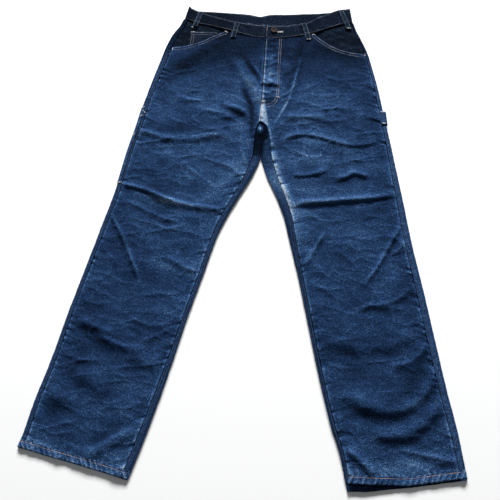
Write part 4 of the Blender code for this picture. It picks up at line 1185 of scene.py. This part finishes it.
# Pocket facings and coin pocket
# Behind each scooped edge a facing fills the pocket's mouth, in cloth that has kept its dye. The right facing
# carries a small coin pocket, which ends in the same seam.
FACING_INSIDE = 0.012
FACING_UNDER_SCOOP = 0.018
FACING_TO_SEAM = 0.0010
UNDER_FRONT = 0.0023
COIN_NEAR = 0.1320
COIN_FAR = 0.1990
COIN_TOP = 1.0505
COIN_ABOVE_SCOOP = 0.0012
facing_denim = denim(
    "facing_denim", (0.0022, 0.0042, 0.0090), (0.0040, 0.0078, 0.0160), (0.022, 0.042, 0.080)
)

for leg, side in LEGS.items():
    inside = SCOOP[leg][0] - FACING_INSIDE
    low_end = SCOOP[leg][-1] - FACING_TO_SEAM
    high_end = OUTER[leg + "_seam"][-1] - FACING_TO_SEAM
    across, share = np.meshgrid(np.linspace(0, 1, 41), np.linspace(0, 1, 31))
    low_out = inside + (low_end - inside) * across
    high_out = inside + (high_end - inside) * across
    low = scoop_height(leg, low_out) - FACING_UNDER_SCOOP
    high = column(BAND, "front_bottom", side * high_out, "across") - BAND_GAP
    y = low + (high - low) * share
    out = low_out + (high_out - low_out) * share
    limit = column(OUTER, leg + "_seam", y) - FACING_TO_SEAM
    out += (limit - out) * across**4
    x = side * out
    z = top_height(leg, out, y) - UNDER_FRONT
    z += 0.0006 * waves(x + y, y, 0.018, 0.010, 16) - 0.0006
    z += 0.0022 * ease(share, 0.45, 0.95) * ease(out - SCOOP[leg][0], 0.004, 0.03)
    z += 0.0020 * ease(across, 0.80, 1.0) * ease(0.9 - share, 0, 0.4)
    points = np.stack([x, y, z], axis=-1)
    wear = 0.42 + wear_and_shade_by_relief(z, 3, 0.0003, 0.10)
    cloth(f"pocket_facing_{leg}_cloth", points, WALL, facing_denim, wear, f"yoke_{leg}_cloth")

across, share = np.meshgrid(np.linspace(0, 1, 25), np.linspace(0, 1, 17))
out = COIN_NEAR + (COIN_FAR - COIN_NEAR) * across
low = scoop_height("right", out) + COIN_ABOVE_SCOOP
y = low + (COIN_TOP - low) * share
z = top_height("right", out, y) - UNDER_FRONT + LIFT + 0.0003 * puckers(out, 17) * share
points = np.stack([-out, y, z], axis=-1)
wear = 0.46 + 0.10 * share
cloth("coin_pocket_cloth", points, PATCH_WALL, facing_denim, wear, "pocket_facing_right_cloth")

# Fly shield
# A strip of denim lies behind the fly's opening, between the two fronts, sewn to the right one. It is closed
# in by the lapped left front, so only its outline counts.
SHIELD_TOP = 0.0065
SHIELD_WALL = 0.0010
SHIELD_ENDS = (0.862, 1.033)
SHIELD_NARROW = 0.88
shield = [
    [(x, y, SHIELD_TOP) for x in np.linspace(-0.008, 0.034 if y > SHIELD_NARROW else 0.022, 6)]
    for y in np.linspace(*SHIELD_ENDS, 12)
]
cloth("fly_shield_cloth", shield, SHIELD_WALL, facing_denim, 0.4, "back_panel_left_cloth")

# Waistband
# One doubled strip of denim runs round the waist and laps left over right at the front. The back half stands
# higher than the front one, so its inside shows. It is darker and greyer than the legs, and pale at its top.
BAND_SIDE_LOW = 0.2215
BAND_SIDE_HIGH = 0.2145
BAND_LAP_STEP = (-0.0044, -0.0075)
BAND_END = -0.0032
BAND_ROWS = 15
BAND_RIPPLE = 0.0007
BAND_STITCH_ROWS = (0.08, 0.92)
band_denim = denim(
    "band_denim", (0.0022, 0.0042, 0.0092), (0.0046, 0.0092, 0.0205), (0.036, 0.064, 0.115)
)


def band_points():
    """Rows of the waistband's outer face, once round from its hidden lap to its buttonhole end."""
    lap_top = BAND_TOP - BAND_WALL - GAP
    radius = (BAND_TOP - LIFT) / 2
    arc = [(math.cos(a), LIFT + radius + radius * math.sin(a)) for a in np.radians(np.linspace(90, -90, 11))]
    rows = []
    for share in np.linspace(0, 1, BAND_ROWS):
        turn = BAND_SIDE_LOW + (BAND_SIDE_HIGH - BAND_SIDE_LOW) * share - radius
        row = [(x, "front", lap_top) for x in np.linspace(BAND_LAP, BAND_LAP_STEP[0], 14)]
        row += [(x, "front", BAND_TOP) for x in np.linspace(BAND_LAP_STEP[1], -turn, 70)[:-1]]
        row += [(-turn - radius * c, "turn", z) for c, z in arc]
        row += [(x, "back", LIFT) for x in np.linspace(-turn, turn, 90)[1:-1]]
        row += [(turn + radius * c, "turn", z) for c, z in arc[::-1]]
        row += [(x, "front", BAND_TOP) for x in np.linspace(turn, BAND_END, 70)[1:]]
        points = []
        for x, part, z in row:
            place = math.copysign(BAND["across"][-1], x) if part == "turn" else x
            high = column(BAND, "back_top" if part == "back" else "front_top", place, "across")
            low = high - BAND_DEPTH if part == "back" else column(BAND, "front_bottom", place, "across")
            points.append((x, low + (high - low) * share, z))
        rows.append(points)
    return np.array(rows, float)


points = band_points()
x, y, z = np.moveaxis(points, -1, 0)
on_front = ease(z, BAND_TOP - 0.001, BAND_TOP)
share = np.linspace(0, 1, BAND_ROWS)[:, None]
edge_pull = beside(share, 0.10) + beside(1 - share, 0.10)
z += on_front * BAND_RIPPLE * edge_pull * puckers(x, 121, 0.008)
z += on_front * BAND_RIPPLE * waves(x + 0.5 * y, y, 0.016, 0.014, 123)
for row in BAND_STITCH_ROWS:
    z -= on_front * 0.0005 * bell(share - row, 0.05)
y += 0.0006 * puckers(x, 125, 0.012) * (share > 0.5)
wear = 0.39 - 0.12 * ease(np.abs(x), 0.06, 0.12) + wear_and_shade_by_relief(z, 2, 0.0004, 0.12) * on_front
wear += 0.22 * beside(1 - share, 0.05) + 0.08 * ease(x, 0.08, 0.14)
wear += 0.10 * beside(share, 0.06)
cloth("waistband_cloth", points, BAND_WALL, band_denim, wear, "floor", "front_panel_left_cloth")

# Belt loops
# Each loop is a narrow strip of doubled denim over the waistband, its lower end turned under and tacked to
# the panel. Four show on the front, and three lie under the back.
LOOP_WIDTH = 0.0130
FRONT_LOOPS = (
    (-0.1785, 1.1110, -0.1910, 1.0640),
    (-0.0790, 1.0830, -0.0880, 1.0340),
    (0.0940, 1.0860, 0.1085, 1.0360),
    (0.1900, 1.1300, 0.2110, 1.0745),
)
BACK_LOOPS = (-0.125, 0.0, 0.125)
BACK_LOOP_TAIL = 0.010
LOOP_COLUMNS = 9
loop_denim = denim(
    "loop_denim", (0.0036, 0.0064, 0.0120), (0.0070, 0.0137, 0.0255), (0.045, 0.078, 0.125)
)
loop_lines = []


def front_loop_points(top_x, top_y, bottom_x, bottom_y):
    """Belt loop over the waistband, whose lower end lies on the panel."""
    band_low = float(column(BAND, "front_bottom", (top_x + bottom_x) / 2, "across"))
    leg = "right" if bottom_x < 0 else "left"
    high = BAND_TOP + GAP + PATCH_WALL
    low = float(top_height(leg, abs(bottom_x), bottom_y)) + GAP + PATCH_WALL + 0.0006
    knots = table(
        "along height",
        (bottom_y, low - 0.0004), (bottom_y + 0.001, low + 0.0003), (band_low - 0.008, low + 0.0006),
        (band_low - 0.003, high), (band_low + 0.004, high + 0.0004), (top_y - 0.002, high),
        (top_y, high - 0.0010),
    )
    ys = np.linspace(bottom_y, top_y, 34)
    zs = column(knots, "height", ys, "along")
    rows = []
    for y, z in zip(ys, zs):
        share = (top_y - y) / (top_y - bottom_y)
        middle = top_x + (bottom_x - top_x) * share
        across = np.linspace(-1, 1, LOOP_COLUMNS)
        crown = 0.0007 * (1 - across**4) - 0.0005 * bell(np.abs(across) - 0.72, 0.12)
        rows.append(np.stack([middle + across * LOOP_WIDTH / 2, 0 * across + y, z + crown], axis=1))
    return np.array(rows)


for number, row in enumerate(FRONT_LOOPS, 1):
    points = front_loop_points(*row)
    across = np.abs(np.linspace(-1, 1, LOOP_COLUMNS))[None, :]
    wear = 0.46 + 0.22 * ease(across, 0.8, 1.0)
    wear = wear + 0.10 * waves(points[..., 0], points[..., 1], 0.004, 0.006, 130 + number)
    cloth(f"belt_loop_front_{number}_cloth", points, PATCH_WALL, loop_denim, wear, "waistband_cloth")
    loop_lines.append(points)

for number, x in enumerate(BACK_LOOPS, 1):
    top = float(column(BAND, "back_top", x, "across"))
    ys = np.linspace(top - BAND_DEPTH - BACK_LOOP_TAIL, top, 20)
    xs = np.linspace(x + LOOP_WIDTH / 2, x - LOOP_WIDTH / 2, 7)
    points = [[(at, y, 0.0) for at in xs] for y in ys]
    cloth(f"belt_loop_back_{number}_cloth", points, PATCH_WALL, loop_denim, 0.46, "floor", under=True)

# Tack button
# A hollow tack button of dark oxidised brass, pressed on to its post through the right end of the band. It
# has a rolled rim and a plain sunken middle, rubbed brighter on the rim.
BUTTON_AT = (0.0175, 1.0605 - MIDDLE, BAND_TOP + 0.0004)
BUTTON_RADIUS = 0.0085
BUTTON_HEIGHT = 0.0032
BUTTON_STEPS = 56
# The button's section as shares of its radius and height, from its middle over the rim to its back
BUTTON_SECTION = (
    (0.0, 0.80), (0.12, 0.80), (0.20, 0.70), (0.42, 0.66), (0.56, 0.74), (0.66, 0.97), (0.76, 1.0),
    (0.88, 0.94), (0.97, 0.74), (1.0, 0.50), (0.96, 0.28), (0.86, 0.18), (0.50, 0.12), (0.0, 0.12),
)
profile = through(BUTTON_SECTION, 0.045)
profile[:, 0] = np.clip(profile[:, 0], 0, None)
angles = np.linspace(0, 2 * math.pi, BUTTON_STEPS, endpoint=False)
ring_rows = profile[1:-1]
button_x, button_y, button_z = BUTTON_AT
vertices = []
for r, h in ring_rows:
    reach, z = BUTTON_RADIUS * r, button_z + BUTTON_HEIGHT * h
    vertices += [(button_x + reach * math.cos(a), button_y + reach * math.sin(a), z) for a in angles]
top_point, base_point = len(vertices), len(vertices) + 1
vertices += [(button_x, button_y, button_z + BUTTON_HEIGHT * profile[end, 1]) for end in (0, -1)]
faces = []
for k in range(BUTTON_STEPS):
    after = (k + 1) % BUTTON_STEPS
    faces.append((top_point, k, after))
    for ring in range(len(ring_rows) - 1):
        low, high = ring * BUTTON_STEPS, (ring + 1) * BUTTON_STEPS
        faces.append((low + k, high + k, high + after, low + after))
    last = (len(ring_rows) - 1) * BUTTON_STEPS
    faces.append((base_point, last + after, last + k))
button_mesh = bpy.data.meshes.new("tack_button")
button_mesh.from_pydata(vertices, [], faces)
button_mesh.shade_smooth()
button_metal = plain_material(
    "oxidised_brass", (0.030, 0.019, 0.014), 0.65, Metallic=0.15, Specular_IOR_Level=0.06
)
tree = button_metal.node_tree
place = add_node(tree, "ShaderNodeTexCoord").outputs["Object"]
tarnish = add_node(tree, "ShaderNodeTexNoise", {"Vector": place, "Scale": 700, "Detail": 4}).outputs["Fac"]
height_of = add_node(tree, "ShaderNodeSeparateXYZ", {"Vector": place}).outputs["Z"]
rubbed = add_node(tree, "ShaderNodeMapRange", {
    "Value": height_of, "From Min": button_z + 0.86 * BUTTON_HEIGHT, "From Max": button_z + BUTTON_HEIGHT,
    "To Min": 0.0, "To Max": 0.5,
}).outputs["Result"]
both = add_node(tree, "ShaderNodeMath", {0: rubbed, 1: tarnish}, operation="MULTIPLY").outputs[0]
two_tone(tree, both, 0.05, (0.014, 0.010, 0.008), 0.55, (0.048, 0.030, 0.020))
button = bpy.data.objects.new("tack_button", button_mesh)
button_mesh.materials.append(button_metal)
scene.collection.objects.link(button)
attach(button, "root")
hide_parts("button")

# Back pockets, tool pocket and hammer loop
# Patches of the leg's denim are sewn on the back, which the jeans lie on. The tool pocket wraps round the
# right side to the seam. The hammer loop leaves the left seam, goes round the side and back under the leg.
POCKET_MIDDLE = 0.130
POCKET_LEAN = 0.008
POCKET_POINT = 0.848
POCKET_DROP = 0.020
BACK_POCKET = table("height half_width", (1.008, 0.080), (0.925, 0.077), (0.868, 0.072))
POCKET_TOP, POCKET_CORNER = BACK_POCKET["height"][[0, -1]]
TOOL_BOTTOM = 0.612
TOOL_TOP = 0.820
TOOL_INNER = 0.180
TOOL_ON_TOP = 0.0075

for leg, side in LEGS.items():
    rows = []
    for share in np.linspace(0, 1, 33):
        row = []
        for across in np.linspace(-1, 1, 33):
            y = POCKET_TOP - share * (POCKET_TOP - POCKET_CORNER + POCKET_DROP * (1 - abs(across)))
            half = float(column(BACK_POCKET, "half_width", y))
            lean = POCKET_LEAN * (POCKET_TOP - y) / (POCKET_TOP - POCKET_POINT)
            row.append((side * (POCKET_MIDDLE + lean - side * half * across), y, 0.0))
        rows.append(row)
    cloth(f"back_pocket_{leg}_cloth", rows[::-1], PATCH_WALL, leg_denim, 0.48, "floor", under=True)

rows = []
for y in np.linspace(TOOL_BOTTOM, TOOL_TOP, 80):
    low = float(lift("right", y))
    edge = float(column(OUTER, "right_edge", y))
    curl = curl_points([edge], column(CURL, "outer", y), low, -1)[0]
    centre = np.array([edge - (curl[0][1] - low) / 2, (curl[0][1] + low) / 2])
    wrap = [tuple(centre + (np.array(p) - centre) * (1 + LIFT / (centre[1] - low))) for p in curl]
    ripple = 0.0005 * float(puckers(y, 141))
    end = [(edge - TOOL_ON_TOP, wrap[0][1] + 0.0012), (edge - 0.0055, wrap[0][1] + 0.0012 + ripple)]
    flat = [(out, 0.0) for out in np.linspace(wrap[-1][0] - 0.010, TOOL_INNER, 14)]
    out, z = np.array([*end, *wrap, *flat]).T
    rows.append(np.stack([-out, np.full_like(out, y), z], axis=1))
points = np.array(rows)
wear = 0.48 + 0.12 * waves(points[..., 1], points[..., 2], 0.008, 0.004, 143)
cloth("tool_pocket_cloth", points, PATCH_WALL, leg_denim, wear, "floor")

# The strap's way round the side: outward place and height above the table
STRAP = (
    (0.2900, 0.0104), (0.2960, 0.0107), (0.3010, 0.0100), (0.3050, 0.0080), (0.3070, 0.0050),
    (0.3055, 0.0018), (0.3000, 0.0000), (0.2600, 0.0000), (0.2100, 0.0000), (0.1600, 0.0000),
)
STRAP_LOW = 0.800
STRAP_WIDTH = 0.035
STRAP_SLANT = 0.0032
STRAP_ROWS = 13
section = through(STRAP, 0.004)
section[:, 1] = np.clip(section[:, 1], 0, None)
rows = []
for share in np.linspace(0, 1, STRAP_ROWS):
    shift = STRAP_SLANT / 2 - STRAP_SLANT * share
    rows.append([(out + shift, STRAP_LOW + STRAP_WIDTH * share, z) for out, z in section])
points = np.array(rows)
edge = np.abs(np.linspace(-1, 1, STRAP_ROWS))[:, None]
wear = 0.44 + 0.20 * ease(edge, 0.8, 1.0) + 0 * points[..., 0]
cloth("hammer_loop_cloth", points, PATCH_WALL, leg_denim, wear, "floor")

# Topstitching
# Thick polyester thread holds every seam, in running stitches about 3 mm long. It is faded pink-grey on the
# waistband, pockets and fly, dyed close to the denim down the legs, and orange-brown round the hems.
STITCH_PITCH = 0.0033
STITCH_LENGTH = 0.0027
THREAD_WIDTH = 0.00100
THREAD_HEIGHT = 0.00055
TACK_PITCH = 0.0006
cloth_pieces = [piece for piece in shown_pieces() if "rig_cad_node" not in piece and piece != button]
all_points, all_faces = [], []
for piece in cloth_pieces:
    start = len(all_points)
    all_points += [tuple(v.co) for v in piece.data.vertices]
    all_faces += [tuple(start + i for i in face.vertices) for face in piece.data.polygons]
cloth_surface = BVHTree.FromPolygons(all_points, all_faces)


def on_cloth(x, y, under=False):
    """The place on the cloth above (or below) a point, and the cloth's direction there."""
    start = Vector((x, y + float(hem_shift(x, y)) - MIDDLE, -0.02 if under else 0.05))
    place, normal, _, _ = cloth_surface.ray_cast(start, Vector((0, 0, 1 if under else -1)))
    if place is None:
        return None, None
    return np.array(place), np.array(normal) * (1 if (normal.z < 0) == under else -1)


def running(points, pitch=STITCH_PITCH, length=STITCH_LENGTH, under=False):
    """Running stitches on the cloth along a line: middle, direction with length, and the cloth's normal."""
    path = through(np.array(points, float), pitch)
    made = []
    for a, b in zip(path[:-1], path[1:]):
        middle, normal = on_cloth(*((a + b) / 2)[:2], under)
        if middle is None:
            continue
        ahead = np.array([*(b - a)[:2], 0.0])
        ahead -= normal * (ahead @ normal)
        ahead *= length / max(np.linalg.norm(ahead), 1e-9)
        made.append((middle, ahead, normal))
    return made


def bar_tack(x, y, length, turn, width=0.0022):
    """A dense zigzag bar of close stitches across its length."""
    cos, sin = math.cos(math.radians(turn)), math.sin(math.radians(turn))
    made = []
    for k in range(int(length / TACK_PITCH) + 1):
        along = -length / 2 + k * TACK_PITCH
        middle, normal = on_cloth(x + along * cos, y + along * sin)
        if middle is None:
            continue
        lean = 0.25 if k % 2 else -0.25
        across = np.array([-sin + lean * cos, cos + lean * sin, 0.0])
        across -= normal * (across @ normal)
        across *= width / np.linalg.norm(across)
        made.append((middle + normal * 0.0002, across, normal))
    return made


def thread_nodes():
    """Node tree that lays one short thread at each point, along its stitch and upright on the cloth."""
    tree = bpy.data.node_groups.new("stitches", "GeometryNodeTree")
    for name, kind, value in (
        ("Stitches", "NodeSocketGeometry", None), ("Thread width", "NodeSocketFloat", THREAD_WIDTH),
        ("Thread height", "NodeSocketFloat", THREAD_HEIGHT), ("Unevenness", "NodeSocketFloat", 0.12),
        ("Seed", "NodeSocketInt", 5), ("Thread", "NodeSocketMaterial", None),
    ):
        socket = tree.interface.new_socket(name, in_out="INPUT", socket_type=kind)
        if value is not None:
            socket.default_value = value
    tree.interface.new_socket("Geometry", in_out="OUTPUT", socket_type="NodeSocketGeometry")
    given = tree.nodes.new("NodeGroupInput").outputs
    along, up = (
        add_node(tree, "GeometryNodeInputNamedAttribute", {"Name": name}, data_type="FLOAT_VECTOR").outputs[0]
        for name in ("along", "up")
    )
    length = add_node(tree, "ShaderNodeVectorMath", {"Vector": along}, operation="LENGTH").outputs["Value"]
    first = add_node(tree, "FunctionNodeAlignRotationToVector", {"Vector": along}, axis="X").outputs[0]
    upright = add_node(
        tree, "FunctionNodeAlignRotationToVector", {"Rotation": first, "Vector": up}, axis="Z", pivot_axis="X"
    ).outputs[0]
    low, high = (
        add_node(tree, "ShaderNodeMath", {0: 1.0, 1: given["Unevenness"]}, operation=change).outputs[0]
        for change in ("SUBTRACT", "ADD")
    )
    uneven = add_node(tree, "FunctionNodeRandomValue", {2: low, 3: high, "Seed": given["Seed"]}).outputs[1]
    size = add_node(tree, "ShaderNodeCombineXYZ", {
        "X": length, "Y": given["Thread width"], "Z": given["Thread height"],
    }).outputs[0]
    scaled = add_node(tree, "ShaderNodeVectorMath", {0: size, "Scale": uneven}, operation="SCALE")
    bead = add_node(tree, "GeometryNodeMeshUVSphere", {"Segments": 6, "Rings": 4, "Radius": 0.5}).outputs[0]
    threads = add_node(tree, "GeometryNodeInstanceOnPoints", {
        "Points": given["Stitches"], "Instance": bead, "Rotation": upright, "Scale": scaled.outputs[0],
    }).outputs[0]
    real = add_node(tree, "GeometryNodeRealizeInstances", {"Geometry": threads}).outputs[0]
    smooth = add_node(tree, "GeometryNodeSetShadeSmooth", {"Geometry": real}).outputs[0]
    dyed = add_node(tree, "GeometryNodeSetMaterial", {"Geometry": smooth, "Material": given["Thread"]})
    add_node(tree, "NodeGroupOutput", {0: dyed.outputs[0]})
    return tree


stitch_tree = thread_nodes()


def thread_material(name, colour, dark):
    """Twisted thread, unevenly faded."""
    material = plain_material(name, colour, 0.75, Sheen_Weight=0.05)
    tree = material.node_tree
    place = add_node(tree, "ShaderNodeTexCoord").outputs["Object"]
    patches = add_node(tree, "ShaderNodeTexNoise", {"Vector": place, "Scale": 45, "Detail": 5}).outputs["Fac"]
    two_tone(tree, patches, 0.42, dark, 0.62, colour)
    return material


def sew(name, stitches, thread, width=THREAD_WIDTH, height=THREAD_HEIGHT, seed=5):
    """All the given stitches as one plain mesh of thread."""
    middles, alongs, ups = (np.array(part, float) for part in zip(*stitches))
    mesh = bpy.data.meshes.new(name)
    mesh.from_pydata((middles + ups * height * 0.12).tolist(), [], [])
    for attribute, values in (("along", alongs), ("up", ups)):
        mesh.attributes.new(attribute, "FLOAT_VECTOR", "POINT").data.foreach_set("vector", values.ravel())
    piece = bpy.data.objects.new(name, mesh)
    scene.collection.objects.link(piece)
    modifier = piece.modifiers.new("thread", "NODES")
    modifier.node_group = stitch_tree
    sockets = {s.name: s.identifier for s in stitch_tree.interface.items_tree if s.in_out == "INPUT"}
    given = {"Thread width": width, "Thread height": height, "Seed": seed, "Thread": thread}
    for label, value in given.items():
        modifier[sockets[label]] = value
    bpy.context.view_layer.update()
    result = bpy.data.meshes.new_from_object(piece.evaluated_get(bpy.context.evaluated_depsgraph_get()))
    piece.modifiers.clear()
    piece.data = result
    result.name = name
    bpy.data.meshes.remove(mesh)
    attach(piece, "root")


pale_thread = thread_material("pale_thread", (0.66, 0.62, 0.59), (0.16, 0.15, 0.18))
cool_thread = thread_material("cool_thread", (0.52, 0.57, 0.64), (0.15, 0.18, 0.25))
dull_thread = thread_material("dull_thread", (0.23, 0.22, 0.24), (0.07, 0.07, 0.10))
white_thread = thread_material("white_thread", (0.78, 0.78, 0.79), (0.58, 0.57, 0.58))
blue_thread = thread_material("blue_thread", (0.045, 0.075, 0.135), (0.020, 0.036, 0.075))
hem_thread = thread_material("hem_thread", (0.60, 0.44, 0.35), (0.24, 0.17, 0.16))

pale, cool, dull, blue, hem_stitches, under_stitches, under_lines, tacks = ([] for _ in range(8))
BACK_INSETS = (0.0020, 0.0080)
SEAT_ROWS = np.linspace(0.800, 1.020, 12)
YOKE_REACH = 0.24


def along_seam(source, leg, low, high, inset):
    """Points beside a leg seam, inset outward from it."""
    ys = np.linspace(low, high, 120)
    return [(LEGS[leg] * (float(column(source, leg + "_seam", y)) + inset), y) for y in ys]


def along_band(name, low, high, shift):
    return [(x, float(column(BAND, name, x, "across")) + shift) for x in np.linspace(low, high, 50)]


def along_scoop(leg, start, end, shift):
    """Points below a pocket's scooped edge, at right angles to it."""
    outs = np.linspace(start, end, 24)
    edge = np.stack([LEGS[leg] * outs, scoop_height(leg, outs)], axis=1)
    ahead = np.gradient(edge, axis=0)
    ahead /= np.linalg.norm(ahead, axis=1)[:, None]
    below = np.stack([ahead[:, 1], -ahead[:, 0]], axis=1)
    below *= np.where(below[:, 1:] < 0, 1, -1)
    return edge + below * shift


# Waistband rows, round the front and round the back: thread, edge, start, end, distance from the edge
BAND_END_LINE = ((-0.0008, 1.0420), (-0.0010, 1.0570), (-0.0008, 1.0725))
for rows, name, low, high, shift in (
    (pale, "front_top", -0.070, -0.005, -0.0028),
    (pale, "front_top", -0.001, 0.060, -0.0028),
    (dull, "front_top", -0.213, -0.072, -0.0028),
    (dull, "front_top", 0.062, 0.213, -0.0028),
    (dull, "front_bottom", -0.215, -0.006, 0.0030),
    (dull, "front_bottom", -0.001, 0.215, 0.0030),
    (dull, "back_top", -0.182, 0.135, -0.0022),
):
    rows += running(along_band(name, low, high, shift))
pale += running(BAND_END_LINE)
# Fly: its edge, the two J-shaped rows and the two close rows of the seam below it
cool += running([(FLY_EDGE + 0.0016, y) for y in (1.0345, 0.980, 0.920, 0.857)])
J_ROWS = (
    (
        (0.0333, 1.0370), (0.0335, 0.960), (0.0338, 0.890), (0.0334, 0.868),
        (0.0312, 0.857), (0.0260, 0.849), (0.0190, 0.844), (0.0060, 0.8415),
    ),
    (
        (0.0383, 1.0375), (0.0385, 0.960), (0.0388, 0.888), (0.0382, 0.866),
        (0.0355, 0.852), (0.0295, 0.8430), (0.0220, 0.8375), (0.0120, 0.8350),
    ),
)
for line in J_ROWS:
    pale += running(line)
FORK_LINE = ((-0.0018, 0.850), (-0.0030, 0.825), (-0.0046, 0.795))
for shift in (0, 0.0012):
    tacks += running([(x + shift, y) for x, y in FORK_LINE], 0.0016, 0.0020)
# Pocket scoops and coin pocket
for leg in LEGS:
    last = SCOOP[leg][-1] - 0.001
    cool += running(along_scoop(leg, SCOOP[leg][0] + 0.002, last, 0.0018))
    cool += running(along_scoop(leg, SCOOP[leg][0] - 0.003, last, 0.0080))
for rows, *line in (
    (cool, (-0.199, 1.0488), (-0.165, 1.0490), (-0.131, 1.0492)),
    (dull, (-0.199, 1.0420), (-0.165, 1.0425), (-0.141, 1.0430)),
    (dull, (-0.1975, 1.0488), (-0.1975, 1.030), (-0.1975, 1.0110)),
    (dull, (-0.1915, 1.0420), (-0.1915, 1.030), (-0.1915, 1.0130)),
):
    rows += running(line)
# Belt loops
for points in loop_lines:
    for place in (1, LOOP_COLUMNS - 2):
        blue += running(points[1:-1, place, :2], STITCH_PITCH * 0.9)
# Legs, seat, yokes and back pockets
for leg, side in LEGS.items():
    for inset in (0.0018, 0.0072):
        blue += running(along_seam(OUTER, leg, 0.040, 0.990, inset))
        blue += running(along_seam(INNER, leg, -0.008, 0.700, -inset))
    outer_y, inner_y = row_heights()
    near = float(column(INNER, leg + "_edge", inner_y[0])) + 0.002
    far = float(column(OUTER, leg + "_edge", outer_y[0])) - 0.002
    outs = np.linspace(near, far, 40)
    ys = height_along(leg, outs, outer_y[0], inner_y[0]) + HEM_STITCH + hem_rise(side * outs)
    line = list(zip(side * outs, ys))
    hem_stitches += running(line)
    under_lines.append([(x, y - float(hem_rise(x))) for x, y in line[1:-1]])
    for inset in BACK_INSETS:
        seat_seam = [float(column(SEAT_SEAM, "across", y)) for y in SEAT_ROWS]
        under_lines.append([(side * (across * side + inset), y) for across, y in zip(seat_seam, SEAT_ROWS)])
        outs = np.linspace(0.004, 0.225, 30)
        yoke_seam = YOKE_CENTRE - inset + (YOKE_SIDE[leg] - YOKE_CENTRE) * outs / YOKE_REACH
        under_lines.append(list(zip(side * outs, yoke_seam)))
    half, height = BACK_POCKET["half_width"], BACK_POCKET["height"]
    middle = POCKET_MIDDLE + POCKET_LEAN * (POCKET_TOP - height) / (POCKET_TOP - POCKET_POINT)
    for inset, below_top in zip(BACK_INSETS, (0.003, 0.012)):
        corner_height = height + np.array([0, 0, inset * 0.5])
        edges = [list(zip(side * (middle + way * (half - inset)), corner_height)) for way in (1, -1)]
        tip = (side * (POCKET_MIDDLE + POCKET_LEAN), POCKET_POINT + inset)
        top_edge = [(side * (middle[0] + way * half[0]), POCKET_TOP - below_top) for way in (-1, 1)]
        under_lines += [*edges, [edges[0][-1], tip], [tip, edges[1][-1]], top_edge]
# Back of the waistband, and the tool pocket
under_lines += [along_band("back_top", -0.205, 0.205, shift) for shift in (0.0028 - BAND_DEPTH, -0.0028)]
for low, high in ((-0.3220, -0.3100), (-0.1830, -0.1830)):
    under_lines.append([(high, TOOL_TOP - 0.002), (low, TOOL_BOTTOM + 0.002)])
for y in (TOOL_BOTTOM + 0.003, TOOL_TOP - 0.003, TOOL_TOP - 0.016):
    under_lines.append([(-0.312, y), (-0.183, y)])
for line in under_lines:
    under_stitches += running(line, under=True)

# Bar tacks
# At each point that takes strain a short bar of close zigzag stitches in white thread locks the seam: pocket
# corners, belt loop ends, the fly, the tool pocket and the hammer loop.
for x, y, length, turn in (
    (-0.1085, 1.0545, 0.0110, -35), (0.1215, 1.0545, 0.0110, 25), (-0.2425, 0.9930, 0.0075, 100),
    (0.2530, 0.9980, 0.0070, 80), (-0.1945, 1.0505, 0.0110, 0), (0.0375, 0.8630, 0.0090, -4),
    (0.0030, 0.8490, 0.0090, 10), (0.1085, 1.0370, 0.0100, 0), (0.2108, 1.0757, 0.0100, 0),
    (-0.1965, 1.0640, 0.0070, -25), (-0.3095, 0.7430, 0.0070, 80), (-0.3265, 0.6130, 0.0080, 12),
    (-0.2960, 0.8180, 0.0070, 35), (-0.2930, 0.8060, 0.0080, -40), (-0.2975, 0.7950, 0.0070, 35),
    (0.2945, 0.8330, 0.0070, 0), (0.2985, 0.8020, 0.0070, 0),
):
    tacks += bar_tack(x, y, length, turn)

# Buttonhole
# A keyhole buttonhole in the left end of the band, its slit bound on both sides with close white stitches.
for shift in (-0.0011, 0.0011):
    tacks += bar_tack(0.0335, 1.0570 + shift, 0.0130, 6, 0.0018)
tacks += bar_tack(0.0402, 1.0577, 0.0040, 96, 0.0020)

sew("topstitching", pale, pale_thread)
sew("pocket_stitching", cool, cool_thread, seed=4)
sew("band_stitching", dull, dull_thread, seed=5)
sew("leg_seam_stitching", blue, blue_thread, seed=6)
sew("hem_stitching", hem_stitches, hem_thread, seed=7)
sew("back_stitching", under_stitches, blue_thread, 0.0007, 0.0003, seed=8)
sew("bar_tacks", tacks, white_thread, 0.00075, 0.0006, seed=9)
